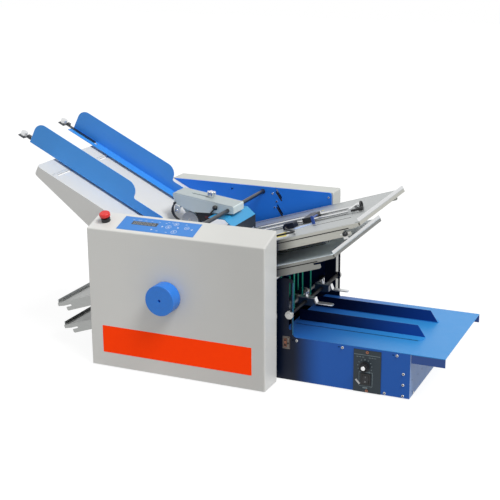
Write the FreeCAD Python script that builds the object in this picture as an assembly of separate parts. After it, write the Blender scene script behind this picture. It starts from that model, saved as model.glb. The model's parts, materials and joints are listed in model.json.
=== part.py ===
import FreeCAD, Part
import math
import os

V = FreeCAD.Vector
ALONG_X = V(1, 0, 0)
ALONG_Y = V(0, 1, 0)
ALONG_Z = V(0, 0, 1)

# The machine is drawn with X = 0 at the left end of its covers, Y = 0 on the mid-plane of the paper
# path and Z = 0 at the underside of the sheet metal. X grows towards the delivery table, and the
# operator stands on the -Y side. All lengths are in millimetres and all angles in degrees.

# Covers
cover_length = 500.0
cover_wall = 2.0
cover_lip = 14.0
cover_edge_radius = 4.0
front_cover_depth = 75.6
rear_cover_depth = 64.6
front_face_height = 374.8
front_top_height = 400.4
rear_top_height = 404.1

# Side frames
frame_wall = 4.0
frame_inner_front = 195.0
frame_inner_rear = 206.0
frame_end_inset = 4.0
frame_front_drop = 3.4
frame_rear_drop = 0.7
frame_front_height = front_top_height - frame_front_drop
frame_rear_height = rear_top_height - frame_rear_drop
frame_corner_radius = 8.0
frame_flange_width = 30.0
frame_outer_front = frame_inner_front + frame_wall
frame_outer_rear = frame_inner_rear + frame_wall

# Two slanting slots and a round hole in the rear frame
rear_slot_x = 331.5
rear_slot_run = 15.0
rear_slot_fall = 22.0
rear_slot_width = 5.2
rear_slot_drop = 5.4
rear_slot_pitch = 45.5
rear_slot_shift = 3.0
rear_hole_x = 193.0
rear_hole_drop = 14.4
rear_hole_radius = 3.0

# Feet
foot_height = 4.0
foot_radius = 12.0
foot_end_inset = 46.0

# Base chassis, a folded tray with one upright each side
chassis_left = 130.0
chassis_reach = 344.4
chassis_right = cover_length + chassis_reach
chassis_half_width = 176.1
chassis_height = 117.5
chassis_wall = 2.0
chassis_return = 15.0
upright_inset = 8.0
upright_width = 44.2
upright_left = cover_length - upright_inset
upright_right = upright_left + upright_width
upright_top = 272.0
upright_top_radius = 10.0
upright_foot_radius = 5.0
slot_width = 7.2
slot_right_inset = 5.2
slot_foot_rise = 18.3
slot_top_drop = 10.0
slot_bottom = chassis_height + slot_foot_rise
slot_top = upright_top - slot_top_drop

# Spacers between the chassis and the side frames
spacer_column_shares = (0.12, 0.5, 0.9)
spacer_row_shares = (0.25, 0.75)
spacer_radius = 7.0

# Delivery table and its guides
table_wall = 1.5
table_inset = 5.0
table_overhang = 86.8
table_left = cover_length - table_inset
table_right = chassis_right + table_overhang
table_tongue_clearance = 0.5
table_flange_depth = 23.7
table_flange_gap = 2.0
delivery_guide_wall = 1.5
delivery_guide_height = 31.5
delivery_guide_flange = 27.0
delivery_guide_cover_gap = 6.0
delivery_guide_length = 342.0
delivery_guide_slope = 21.0
delivery_guide_left = cover_length + delivery_guide_cover_gap
delivery_guide_front_y = 54.0
delivery_guide_rear_y = 64.0
slide_gap = 0.3

# Control plate, dial, switch and mains inlet
control_plate_width = 71.7
control_plate_height = 112.5
control_plate_wall = 1.5
control_plate_from_end = 145.4
control_plate_left = chassis_right - control_plate_from_end
dial_across = 29.7
dial_x = control_plate_left + dial_across
dial_z = 68.7
dial_radius = 10.0
dial_skirt_radius = 13.0
dial_skirt_height = 3.0
dial_height = 14.0
dial_shaft_radius = 3.0
dial_mark_depth = 1.2
switch_across = 32.4
switch_x = control_plate_left + switch_across
switch_z = 35.6
switch_width = 20.0
switch_height = 24.0
switch_bezel = 3.0
switch_bezel_proud = 2.0
switch_body_depth = 24.0
rocker_gap = 0.5
rocker_thickness = 7.0
rocker_proud = 3.5
rocker_rest_angle = 8.0
rocker_pin_radius = 1.5
inlet_width = 28.0
inlet_height = 22.0
inlet_depth = 20.0
inlet_wall = 3.0
inlet_flange = 8.0
inlet_pin_radius = 1.6
inlet_pin_length = 12.0
inlet_pin_pitch = 8.0
inlet_from_end = 54.4
inlet_x = chassis_right - inlet_from_end
inlet_z = 40.0

# Screws
screw_head_radius = 3.6
screw_head_height = 2.2
screw_shank_radius = 2.0
screw_length = 8.0
screw_hole_clearance = 0.1
screw_top_drop = 7.5
screw_foot_rise = 6.0
screw_end_inset = 16.5
screw_row_pitch = 29.0
screw_plate_inset = 5.0
keyhole_offset = 10.0
keyhole_length = 5.0
keyhole_width = 2.6

# Fold rollers: the stack of six nips the paper in turn towards the upper and the lower plates
roller_pitch = 32.2
roller_gap = 0.4
roller_half_length = 182.0
journal_radius = 5.0
running_clearance = 0.05
bearing_radius = 11.0
bearing_width = 7.0
bearing_proud = 1.5
nip_x = 250.0
nip_z = 289.3
upper_angle = 17.7
lower_angle = 19.0
exit_angle = 0.0
gear_width = 8.0
gear_offset = 5.0
gear_mesh_gap = 0.3
gear_notch_depth = 1.6
gear_module = 2.0
journal_end = 3.0

# Handwheel and its shaft
handwheel_x = 229.0
handwheel_z = 217.5
handwheel_radius = 40.0
handwheel_length = 39.5
handwheel_gap = 1.5
handwheel_edge_radius = 1.5
handwheel_socket_radius = 3.6
handwheel_socket_depth = 8.0
handwheel_bore_depth = 26.0
drive_shaft_radius = 5.0
cover_shaft_hole = 8.0

# Gear motor, straight on the end of the bottom roller
motor_radius = 34.0
motor_length = 40.0
motor_edge_radius = 3.0
motor_standoff_radius = 4.0
motor_standoff_circle = 29.0
motor_clearance = 2.0

# Fold plates, drawn along their own length u, with their top face at height 0
plate_half_width = 190.0
plate_sheet = 1.5
plate_paper_gap = 6.5
plate_flange_depth = 27.0
plate_flange_wall = 2.0
plate_lobe_inset = 24.0
plate_lobe_inset_2 = 39.0
plate_lobe_radius = 5.0
plate_notch_depth = 18.0
plate_notch_width = 5.0
plate_notch_top = 11.0
plate_nip_clearance = 22.0
plate_groove_inset = 7.0
plate_groove_width = 1.6
plate_groove_depth = 0.7
upper_reach_1 = 207.0
upper_reach_2 = 144.0
lower_reach_3 = 157.0
lower_reach_4 = 140.0
end_bar_half_length = 184.0
end_bar_thickness = 3.0
end_bar_above = 9.0
end_bar_below = 8.0
end_bar_foot = 9.0
end_bar_lean_share = 0.25
tie_rod_radius = 4.0
tie_rod_drop = 18.5
tie_rod_inner_offset = 36.0
tie_rod_outer_inset = 60.0
tie_head_radius = 6.5
tie_head_height = 4.0

# Stop carriages on the fold plates
rail_radius = 3.0
rail_height = 6.0
rail_rear_y = 27.0
rail_front_y = -27.0
rail_inner_start = 66.0
rail_outer_inset = 80.0
bridge_thickness = 8.0
bridge_overhang = 9.0
bridge_height = 12.5
carriage_length = 26.0
carriage_overhang = 6.0
carriage_base = 1.0
carriage_height = 14.0
finger_width = 5.0
finger_length = 4.0
finger_spread = 44.0
finger_slot_width = 6.4
stop_bar_height = 5.0
stop_bar_overhang = 12.0
stop_rest_share_upper_1 = 0.57
stop_rest_share_upper_2 = 0.45
stop_rest_share_lower = 0.5
ring_radius = 7.5
ring_height = 8.0
ring_bore = 4.0
ring_width = 5.0
fine_knob_radius = 5.0
fine_knob_length = 12.0
fine_knob_reach = 30.0

# Sensor connector on upper plate 1, and its cable to the front frame
connector_u_share = 0.441
connector_length = 32.0
connector_width = 28.0
connector_height = 15.0
connector_edge = 3.0
connector_rail_gap = 7.0
cable_radius = 2.5
cable_tail = 4.0
cable_bend_share = 0.45
gland_radius = 5.5
gland_length = 7.0
gland_seat = 1.5

# Route of the cable from the connector's near left corner: along the plate, towards the front, and up
cable_route = [(12.0, 0.0, 7.0), (12.0, 18.0, 7.0), (47.5, 60.0, 5.0), (72.5, 88.0, 6.0), (70.5, 112.0, 8.5),
               (21.6, 122.0, 10.0)]

# Feed table, drawn along its slope u, with its top face at height 0
feed_angle = 26.5
feed_left_x = -198.6
feed_left_z = 505.5
feed_length = 470.0
feed_front_y = 194.0
feed_rear_y = 204.5
feed_wall = 2.0
feed_end_depth = 23.0
feed_skirt_angle = 11.9
feed_skirt_length = 250.0
feed_inner_depth = 14.0
feed_corner_radius = 16.0
feed_slot_width = 5.0
feed_slot_first = 60.0
feed_slot_second = 330.0
feed_slot_inner = 45.0
feed_slot_outer = 172.0
feed_window_length = 60.0
feed_window_half_width = 52.0
feed_stud_radius = 3.0
feed_stud_washer = 6.0
feed_stud_outer_u = 276.0
feed_stud_outer_drop = 7.0
feed_stud_inner_u = 424.0
feed_stud_inner_drop = 7.0

# Feed guides, their extension arms and thumb knobs
guide_y = 111.5
guide_wall = 1.5
guide_lift = 7.5
guide_flange = 31.0
guide_overhang = 83.0
guide_length = 446.0
guide_height = 65.0
guide_tall_length = 343.0
guide_lip_height = 27.0
guide_corner_radius = 26.0
guide_drop_radius = 30.0
guide_foot_radius = 7.0
guide_lip_radius = 9.0
guide_pin_radius = 2.2
guide_pin_washer = 7.0
guide_pin_inset = 15.0
guide_nut_height = 5.0
guide_slot_start = 11.0
guide_slot_length = 84.0
guide_slot_width = 6.0
guide_slot_inset = 11.0
arm_width = 9.0
arm_thickness = 3.0
arm_length = 122.0
arm_overhang = 37.0
arm_pin_radius = 2.5
arm_pin_from_end = 12.0
arm_tab_height = 9.0
arm_finger_length = 15.0
knob_radius = 9.5
knob_height = 11.0
knob_notches = 14
knob_notch_radius = 1.2
knob_stud_radius = 2.0
knob_lift = 0.3

# Feed head, which lifts about the head rod
head_rod_x = 290.0
head_rod_z = 390.0
head_rod_radius = 5.5
head_collar_radius = 7.0
head_collar_width = 4.0
head_half_width = 33.0
head_wall = 2.0
head_left_x = 125.0
head_left_z = 426.3
head_right_x = 307.5
head_right_z = 402.6
head_bottom_right_z = 382.5
head_waist_x = 188.0
head_waist_z = 376.0
head_chin_x = 132.0
head_chin_z = 395.0
head_corner_radius = 5.0
head_slot_x = 199.0
head_slot_length = 62.0
head_slot_width = 6.6
head_knob_x = 226.0
head_knob_hub_radius = 7.0
head_knob_hub_height = 5.0
head_knob_radius = 12.5
head_knob_height = 11.0
head_knob_lobes = 6
head_knob_lobe_radius = 3.6
head_knob_core_radius = 8.5
head_knob_stud_radius = 3.0
head_knob_stud_length = 12.0
separator_x = 173.5
separator_z = 348.6
separator_radius = 25.0
separator_width = 50.0
separator_bore = 6.0
hanger_wall = 4.0
hanger_gap = 0.5
hanger_eye_radius = 11.0
hanger_reach = 36.0
strap_width = 9.0
strap_thickness = 3.0
strap_reach = 11.0
strap_drop = 42.0
strap_tab = 5.0
strap_screw_radius = 3.2

# Feed roller
feed_roller_radius = 30.0
feed_roller_half_length = 45.0
feed_nip_gap = 0.6
feed_shaft_radius = 5.0

# Transfer cover between the feed head and upper plate 1
transfer_left = 250.0
transfer_bend = 298.0
transfer_right = 322.0
transfer_top = 377.0
transfer_slope_drop = 20.0
transfer_front_y = 70.0
transfer_rear_y = 80.0
transfer_wall = 2.0

# Control panel and stop button on the slanted top of the front cover
panel_left = 81.8
panel_right = 301.4
panel_near_share = 0.14
panel_far_share = 0.88
panel_thickness = 0.8
stop_x = 37.5
stop_from_edge = 40.0
stop_collar_radius = 12.0
stop_collar_height = 10.0
stop_neck_radius = 8.0
stop_neck_length = 14.0
stop_stem_radius = 5.0
stop_button_radius = 14.5
stop_button_height = 9.0
stop_button_travel = 5.0
stop_button_gap = 0.8

# Exit belts and their shafts
belt_from_nip = 224.0
belt_x = nip_x + belt_from_nip
belt_lower_z = 152.0
belt_upper_z = 258.0
belt_pulley_radius = 17.0
belt_width = 6.0
belt_thickness = 2.0
belt_gap = 0.3
belt_spacing = 60.5
belt_pulley_width = 10.0
belt_flange_height = 1.4

# Exit bar in the slots of the uprights, its arms and wing knobs
exit_bar_z = 178.0
exit_bar_radius = 5.0
exit_bar_end_gap = 0.5
exit_stud_radius = 3.4
thumb_nut_radius = 10.8
thumb_nut_height = 8.0
thumb_nut_hub_radius = 6.5
thumb_nut_hub_height = 3.0
thumb_nut_grooves = 20
thumb_nut_groove_radius = 0.9
exit_arm_y = 60.0
clamp_length = 40.0
clamp_width = 16.0
clamp_height = 20.0
clamp_edge_radius = 2.0
lever_width = 16.0
lever_thickness = 2.5
lever_back = 18.0
lever_flat = 4.0
lever_crank = 5.0
lever_drop = 13.0
lever_tip = 46.0
lever_tip_radius = 5.0
wing_hub_radius = 4.5
wing_hub_height = 6.0
wing_length = 18.0
wing_width = 3.0
wing_height = 9.0
wing_stud_radius = 2.5
wing_stud_length = 5.5

# Working values: how far a cutter runs past a face, and the shortest edge that is drawn
overrun = 1.0
least_length = 0.001


def box(x0, x1, y0, y1, z0, z1):
    """A block between two corners."""
    return Part.makeBox(x1 - x0, y1 - y0, z1 - z0, V(x0, y0, z0))


def outline(points, lift):
    """A face from points (a, b) or (a, b, radius); lift turns a pair into a 3-D point."""
    edges = []
    corners = []
    count = len(points)
    for i in range(count):
        here = V(points[i][0], points[i][1], 0)
        radius = points[i][2] if len(points[i]) > 2 else 0
        back = V(points[i - 1][0], points[i - 1][1], 0) - here
        ahead = V(points[(i + 1) % count][0], points[(i + 1) % count][1], 0) - here
        if radius <= 0:
            corners.append((here, None, here))
            continue
        half = back.getAngle(ahead) / 2
        back.normalize()
        ahead.normalize()
        reach = radius / math.tan(half)
        middle = back + ahead
        middle.normalize()
        tip = here + middle * (radius / math.sin(half) - radius)
        corners.append((here + back * reach, tip, here + ahead * reach))
    for i in range(count):
        start, tip, end = corners[i]
        if tip is not None:
            edges.append(Part.Arc(lift(start), lift(tip), lift(end)).toShape())
        after = corners[(i + 1) % count][0]
        if end.distanceToPoint(after) > least_length:
            edges.append(Part.makeLine(lift(end), lift(after)))
    return Part.Face(Part.Wire(edges))


def profile_y(points, y0, y1):
    """A prism along Y whose outline is given in X and Z."""
    face = outline(points, lambda p: V(p.x, y0, p.y))
    return face.extrude(V(0, y1 - y0, 0))


def profile_x(points, x0, x1):
    """A prism along X whose outline is given in Y and Z."""
    face = outline(points, lambda p: V(x0, p.x, p.y))
    return face.extrude(V(x1 - x0, 0, 0))


def profile_z(points, z0, z1):
    """A prism along Z whose outline is given in X and Y."""
    face = outline(points, lambda p: V(p.x, p.y, z0))
    return face.extrude(V(0, 0, z1 - z0))


def rod_y(x, z, radius, y0, y1):
    """A round bar along Y."""
    return Part.makeCylinder(radius, y1 - y0, V(x, y0, z), ALONG_Y)


def rod_z(x, y, radius, z0, z1):
    """A round bar along Z."""
    return Part.makeCylinder(radius, z1 - z0, V(x, y, z0), ALONG_Z)


def rod_x(y, z, radius, x0, x1):
    """A round bar along X."""
    return Part.makeCylinder(radius, x1 - x0, V(x0, y, z), ALONG_X)


def fuse(first, *others):
    """One solid from pieces that touch or overlap."""
    return first.fuse(list(others)).removeSplitter()


def mirror_y(shape):
    """The same piece on the other side of the mid-plane."""
    return shape.mirror(V(0, 0, 0), ALONG_Y)


def slot_y(x0, x1, z0, z1, y0, y1):
    """A cutter for a slot with round ends, long in Z, through a wall that faces Y."""
    radius = (x1 - x0) / 2
    middle = (x0 + x1) / 2
    body = box(x0, x1, y0, y1, z0 + radius, z1 - radius)
    low = rod_y(middle, z0 + radius, radius, y0, y1)
    high = rod_y(middle, z1 - radius, radius, y0, y1)
    return fuse(body, low, high)


def level_slot_y(x0, x1, z0, z1, y0, y1):
    """A cutter for a slot with round ends, long in X, through a wall that faces Y."""
    radius = (z1 - z0) / 2
    middle = (z0 + z1) / 2
    body = box(x0 + radius, x1 - radius, y0, y1, z0, z1)
    left = rod_y(x0 + radius, middle, radius, y0, y1)
    right = rod_y(x1 - radius, middle, radius, y0, y1)
    return fuse(body, left, right)


def slot_z(x0, x1, y0, y1, z0, z1):
    """A cutter for a slot with round ends through a wall that faces Z, long in its longer side."""
    if x1 - x0 > y1 - y0:
        radius = (y1 - y0) / 2
        ends = [V(x0 + radius, y0 + radius, z0), V(x1 - radius, y0 + radius, z0)]
        body = box(x0 + radius, x1 - radius, y0, y1, z0, z1)
    else:
        radius = (x1 - x0) / 2
        ends = [V(x0 + radius, y0 + radius, z0), V(x0 + radius, y1 - radius, z0)]
        body = box(x0, x1, y0 + radius, y1 - radius, z0, z1)
    return fuse(body, *[Part.makeCylinder(radius, z1 - z0, end, ALONG_Z) for end in ends])


def leaning_slot_y(x0, z0, x1, z1, width, y0, y1):
    """A cutter for a slot with round ends between two points, through a wall that faces Y."""
    run = math.hypot(x1 - x0, z1 - z0)
    side_x = (z1 - z0) / run * width / 2
    side_z = (x0 - x1) / run * width / 2
    body = profile_y([(x0 + side_x, z0 + side_z), (x1 + side_x, z1 + side_z), (x1 - side_x, z1 - side_z),
                      (x0 - side_x, z0 - side_z)], y0, y1)
    return fuse(body, rod_y(x0, z0, width / 2, y0, y1), rod_y(x1, z1, width / 2, y0, y1))


def round_edges(shape, chosen):
    """The full circles among the edges of a shape that pass a test on their middle."""
    circles = [edge for edge in shape.Edges if edge.Curve.TypeId == "Part::GeomCircle" and edge.Closed]
    return [edge for edge in circles if chosen(edge.CenterOfMass)]


def edges_along(shape, direction, chosen):
    """The straight edges of a shape that run in a direction and pass a test on their middle."""
    found = []
    for edge in shape.Edges:
        if len(edge.Vertexes) < 2:
            continue
        run = edge.Vertexes[1].Point - edge.Vertexes[0].Point
        straight = abs(abs(run.dot(direction)) - run.Length) < running_clearance
        if straight and run.Length > running_clearance and chosen(edge.CenterOfMass):
            found.append(edge)
    return found


# Where the rollers and plates lie


def step(angle, length):
    """The move from one roller centre to the next one down, square to a nip that feeds at an angle."""
    return V(length * math.sin(math.radians(angle)), 0, -length * math.cos(math.radians(angle)))


def roller_centres():
    """The six roller centres, from the top."""
    first = V(nip_x, 0, nip_z) - step(upper_angle, roller_pitch / 2)
    centres = [first]
    for angle in (upper_angle, lower_angle, upper_angle, lower_angle, exit_angle):
        centres.append(centres[-1] + step(angle, roller_pitch))
    return centres


def plate_frame(number):
    """Placement of a fold plate: u along the plate away from its nip, height 0 at its top face."""
    centres = roller_centres()
    pair = {1: 0, 2: 2, 3: 1, 4: 3}[number]
    nip = (centres[pair] + centres[pair + 1]) / 2
    upper = number in (1, 2)
    angle = upper_angle if upper else lower_angle
    side = 1 if upper else -1
    along = V(side * math.cos(math.radians(angle)), 0, side * math.sin(math.radians(angle)))
    up = V(-math.sin(math.radians(angle)), 0, math.cos(math.radians(angle)))
    start = nip + along * plate_nip_clearance + up * (plate_sheet + plate_paper_gap / 2)
    turn = FreeCAD.Rotation(ALONG_Y, -angle)
    if not upper:
        turn = turn.multiply(FreeCAD.Rotation(ALONG_Z, 180))
    return FreeCAD.Placement(start, turn)


def plate_length(number):
    """How far a plate runs along u, so that it ends at its reach past the covers."""
    start = plate_frame(number).Base
    end_x = {1: cover_length + upper_reach_1, 2: cover_length + upper_reach_2,
             3: -lower_reach_3, 4: -lower_reach_4}[number]
    angle = upper_angle if number in (1, 2) else lower_angle
    return abs(end_x - start.x) / math.cos(math.radians(angle))


def plate_side(number):
    """+1 where the plate's own y points to the rear, -1 where it points to the front."""
    return 1 if number in (1, 2) else -1


def stop_rest(number):
    """Where the stop carriage rests along u."""
    share = {1: stop_rest_share_upper_1, 2: stop_rest_share_upper_2}.get(number, stop_rest_share_lower)
    return share * plate_length(number)


def stop_range(number):
    """How far the stop carriage can move inwards and outwards from its rest."""
    inner = rail_inner_start + bridge_thickness + carriage_length / 2
    outer = plate_length(number) - rail_outer_inset - carriage_length / 2
    return inner + slide_gap - stop_rest(number), outer - slide_gap - stop_rest(number)


def feed_frame():
    """Placement of the feed table: u down the slope, height 0 at its top face."""
    return FreeCAD.Placement(V(feed_left_x, 0, feed_left_z), FreeCAD.Rotation(ALONG_Y, feed_angle))


def slant_angle():
    """Slope of the front cover's top."""
    return math.degrees(math.atan2(front_top_height - front_face_height, front_cover_depth))


def slant_frame(x, from_edge):
    """Placement on the slanted top, with height along its normal."""
    angle = math.radians(slant_angle())
    y = -frame_outer_front - front_cover_depth + from_edge * math.cos(angle)
    z = front_face_height + from_edge * math.sin(angle)
    return FreeCAD.Placement(V(x, y, z), FreeCAD.Rotation(ALONG_X, slant_angle()))


def slant_length():
    """Width of the slanted top along its slope."""
    return front_cover_depth / math.cos(math.radians(slant_angle()))


def feed_roller_centre():
    """The feed roller lies below the separator wheel, square to the feed table."""
    drop = separator_radius + feed_nip_gap + feed_roller_radius
    angle = math.radians(feed_angle)
    return V(separator_x - drop * math.sin(angle), 0, separator_z - drop * math.cos(angle))


def exit_slot_x():
    """Middle of the slots in the uprights."""
    return upright_right - slot_right_inset - slot_width / 2


def placed(shape, placement):
    """A copy of a shape moved by a placement."""
    copy = shape.copy()
    copy.Placement = placement.multiply(copy.Placement)
    return copy


# Screws of the chassis


def screw_places():
    """Screws on the front and rear wall of the chassis, as X and Z."""
    top = chassis_height - screw_top_drop
    right = chassis_right - screw_end_inset
    plate_middle = control_plate_left + control_plate_width / 2
    plate_right = control_plate_left + control_plate_width
    places = [(upright_right + keyhole_offset, top),
              (control_plate_left - 3 * keyhole_offset, top),
              (plate_right + 4 * keyhole_offset, top)]
    places += [(right, screw_foot_rise + row * screw_row_pitch) for row in range(3)]
    places.append((plate_right + keyhole_offset, screw_foot_rise))
    plate = [(plate_middle, screw_plate_inset), (plate_middle, control_plate_height - screw_plate_inset)]
    return places, plate


def chassis_screw(x, z, seat):
    """A pan head screw in the front wall; seat is how proud its seat is."""
    face = -chassis_half_width - seat
    half = screw_head_height / 2
    head = rod_y(x, z, screw_head_radius, face - screw_head_height, face)
    head = head.makeFillet(half, round_edges(head, lambda c: c.y < face - half))
    return fuse(head, rod_y(x, z, screw_shank_radius, face, face + screw_length))


def base_screws():
    """All screws of the chassis: each wall's, and the plate's two."""
    places, plate = screw_places()
    screws = [chassis_screw(x, z, 0) for x, z in places]
    screws += [mirror_y(chassis_screw(x, z, 0)) for x, z in places]
    screws += [chassis_screw(x, z, control_plate_wall) for x, z in plate]
    return Part.makeCompound(screws)


# Base


def chassis_side():
    """One side wall with its upright, on the front side."""
    points = [(chassis_left, 0), (chassis_right, 0), (chassis_right, chassis_height),
              (upright_right, chassis_height, upright_foot_radius),
              (upright_right, upright_top, upright_top_radius),
              (upright_left, upright_top, upright_top_radius),
              (upright_left, chassis_height, upright_foot_radius), (chassis_left, chassis_height)]
    wall = profile_y(points, -chassis_half_width, -chassis_half_width + chassis_wall)
    slot = slot_y(exit_slot_x() - slot_width / 2, exit_slot_x() + slot_width / 2, slot_bottom, slot_top,
                  -chassis_half_width - overrun, -chassis_half_width + chassis_wall + overrun)
    return wall.cut(slot)


def chassis_tray():
    """The closed tray: bottom, two side walls with uprights, two ends and returns that carry the table."""
    inner = chassis_half_width - chassis_wall
    low = chassis_height - chassis_wall
    bottom = box(chassis_left, chassis_right, -inner, inner, 0, chassis_wall)
    left = box(chassis_left, chassis_left + chassis_wall, -inner, inner, 0, chassis_height)
    right = box(chassis_right - chassis_wall, chassis_right, -inner, inner, 0, chassis_height)
    front_return = box(chassis_left, chassis_right, -inner, -inner + chassis_return, low, chassis_height)
    end_return = box(chassis_right - chassis_return, chassis_right, -inner, inner, low, chassis_height)
    left_return = box(chassis_left, chassis_left + chassis_return, -inner, inner, low, chassis_height)
    side = chassis_side()
    return fuse(bottom, left, right, front_return, mirror_y(front_return), end_return, left_return,
                side, mirror_y(side))


def chassis_cuts():
    """Cutters for the screws, keyholes, dial, switch and inlet in the tray's side walls."""
    places, plate = screw_places()
    hole = screw_shank_radius + screw_hole_clearance
    low = -chassis_half_width - overrun
    high = -chassis_half_width + chassis_wall + overrun
    walls = [rod_y(x, z, hole, low, high) for x, z in places]
    cuts = walls + [mirror_y(cutter) for cutter in walls]
    cuts += [rod_y(x, z, hole, low, high) for x, z in plate]
    for x, z in places[:3]:
        left = x - keyhole_offset - keyhole_length / 2
        foot = z - keyhole_width / 2
        cuts.append(level_slot_y(left, left + keyhole_length, foot, foot + keyhole_width, low, high))
    cuts.append(rod_y(dial_x, dial_z, dial_shaft_radius + overrun, low, high))
    return cuts + [switch_hole(), inlet_hole()]


def base_chassis():
    return chassis_tray().cut(chassis_cuts())


def switch_hole():
    """The space of the switch housing through the wall."""
    wide = switch_width / 2
    tall = switch_height / 2
    low = -chassis_half_width - control_plate_wall - overrun
    high = -chassis_half_width + chassis_wall + overrun
    return box(switch_x - wide, switch_x + wide, low, high, switch_z - tall, switch_z + tall)


def inlet_hole():
    """The space of the mains inlet through the rear wall."""
    return box(inlet_x - inlet_width / 2, inlet_x + inlet_width / 2,
               chassis_half_width - chassis_wall - overrun, chassis_half_width + overrun,
               inlet_z - inlet_height / 2, inlet_z + inlet_height / 2)


def base_feet():
    """Two feet below the side frames and two below the right end of the chassis."""
    feet = []
    left = foot_end_inset
    right = chassis_right - foot_end_inset
    front = -frame_outer_front - frame_flange_width / 2
    rear = frame_outer_rear + frame_flange_width / 2
    side = chassis_half_width - frame_flange_width
    for x, y in ((left, front), (left, rear), (right, -side), (right, side)):
        foot = Part.makeCone(foot_radius - foot_height / 2, foot_radius, foot_height, V(x, y, -foot_height))
        feet.append(foot)
    return Part.makeCompound(feet)


def control_plate():
    """Plate with the dial and the switch housing."""
    front = -chassis_half_width - control_plate_wall
    low = front - overrun
    high = -chassis_half_width + overrun
    plate = box(control_plate_left, control_plate_left + control_plate_width, front, -chassis_half_width,
                0, control_plate_height)
    cuts = [switch_hole(), rod_y(dial_x, dial_z, dial_shaft_radius + running_clearance, low, high)]
    for x, z in screw_places()[1]:
        cuts.append(rod_y(x, z, screw_shank_radius + screw_hole_clearance, low, high))
    plate = plate.cut(cuts)
    return Part.makeCompound([plate, switch_housing()])


def switch_housing():
    """Housing of the switch: a bezel in front and an open box behind."""
    front = -chassis_half_width - control_plate_wall
    back = front + switch_body_depth
    wall = switch_bezel / 2

    def block(extra, low, high):
        wide = switch_width / 2 + extra
        tall = switch_height / 2 + extra
        return box(switch_x - wide, switch_x + wide, low, high, switch_z - tall, switch_z + tall)

    bezel = block(switch_bezel, front - switch_bezel_proud, front)
    body = block(0, front, back)
    room = block(-wall, front - switch_bezel_proud - overrun, back - wall)
    reach = switch_width / 2 + overrun
    pin_hole = rocker_pin_radius + running_clearance
    pin_hole = rod_x(front, switch_z, pin_hole, switch_x - reach, switch_x + reach)
    return fuse(bezel, body).cut([room]).cut(pin_hole)


def power_switch():
    """Rocker, tilted to its off side, on two short pins."""
    front = -chassis_half_width - control_plate_wall
    wall = switch_bezel / 2
    wide = switch_width / 2 - wall - rocker_gap
    tall = switch_height / 2 - wall - 2 * rocker_gap
    dip = rocker_proud / 2
    face = front - rocker_proud
    back = face + rocker_thickness
    points = [(face, switch_z - tall), (back, switch_z - tall + dip), (back, switch_z + tall - dip),
              (face, switch_z + tall), (face + dip, switch_z)]
    rocker = profile_x(points, switch_x - wide, switch_x + wide)
    reach = switch_width / 2 - rocker_gap
    rocker = fuse(rocker, rod_x(front, switch_z, rocker_pin_radius, switch_x - reach, switch_x + reach))
    rocker.rotate(V(switch_x, front, switch_z), ALONG_X, -rocker_rest_angle)
    return rocker


def speed_dial():
    """Skirted knob with a pointer groove, on its shaft."""
    front = -chassis_half_width - control_plate_wall - slide_gap
    skirt = rod_y(dial_x, dial_z, dial_skirt_radius, front - dial_skirt_height, front)
    grip = rod_y(dial_x, dial_z, dial_radius, front - dial_height, front - dial_skirt_height)
    shaft = rod_y(dial_x, dial_z, dial_shaft_radius, front, front + dial_height)
    knob = fuse(skirt, grip, shaft)
    mark = box(dial_x - dial_mark_depth / 2, dial_x + dial_mark_depth / 2, front - dial_height - overrun,
               front - dial_height + dial_mark_depth, dial_z, dial_z + dial_radius + overrun)
    return knob.cut(mark)


def power_inlet():
    """Three-pin mains inlet in the rear wall."""
    back = chassis_half_width
    root = back - inlet_depth

    def block(extra_x, extra_z, low, high):
        wide = inlet_width / 2 + extra_x
        tall = inlet_height / 2 + extra_z
        return box(inlet_x - wide, inlet_x + wide, low, high, inlet_z - tall, inlet_z + tall)

    body = block(0, 0, root, back)
    flange = block(inlet_flange, inlet_wall, back, back + inlet_wall)
    room = block(-inlet_wall, -inlet_wall, root + inlet_wall, back + inlet_wall + overrun)
    shell = fuse(body, flange).cut(room)
    pins = []
    for across, rise in ((-1, 0), (1, 0), (0, 1)):
        x = inlet_x + across * inlet_pin_pitch
        z = inlet_z + rise * inlet_wall
        pins.append(rod_y(x, z, inlet_pin_radius, root + inlet_wall / 2,
                          root + inlet_wall + inlet_pin_length))
    return fuse(shell, *pins)


def delivery_table():
    """Table sheet with a tongue between the uprights and a flange down each side of its free end."""
    low = chassis_height
    high = chassis_height + table_wall
    half = chassis_half_width
    inner = half - chassis_wall - table_tongue_clearance
    neck = upright_right + upright_foot_radius + table_tongue_clearance
    points = [(table_left, -inner), (neck, -inner), (neck, -half), (table_right, -half),
              (table_right, half), (neck, half), (neck, inner), (table_left, inner)]
    sheet = profile_z(points, low, high)
    start = chassis_right + table_flange_gap
    flange = box(start, table_right, -half, -half + table_wall, high - table_flange_depth, high)
    return fuse(sheet, flange, mirror_y(flange))


def delivery_guide_at(y):
    """Angle strip on the delivery table with its flange towards the front; y is its wall."""
    foot = chassis_height + table_wall + slide_gap
    top = foot + delivery_guide_height
    right = delivery_guide_left + delivery_guide_length
    wall = profile_y([(delivery_guide_left, foot), (right, foot), (right - delivery_guide_slope, top),
                      (delivery_guide_left, top)], y - delivery_guide_wall, y)
    outer = y - delivery_guide_flange
    flange = profile_z([(delivery_guide_left, outer), (right - delivery_guide_slope / 2, outer),
                        (right, y - delivery_guide_flange / 2), (right, y), (delivery_guide_left, y)],
                       foot, foot + delivery_guide_wall)
    return fuse(wall, flange)


def delivery_guide_front():
    return delivery_guide_at(-delivery_guide_front_y)


def delivery_guide_rear():
    return mirror_y(delivery_guide_at(-delivery_guide_rear_y))


# Side frames and the rods between them


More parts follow.
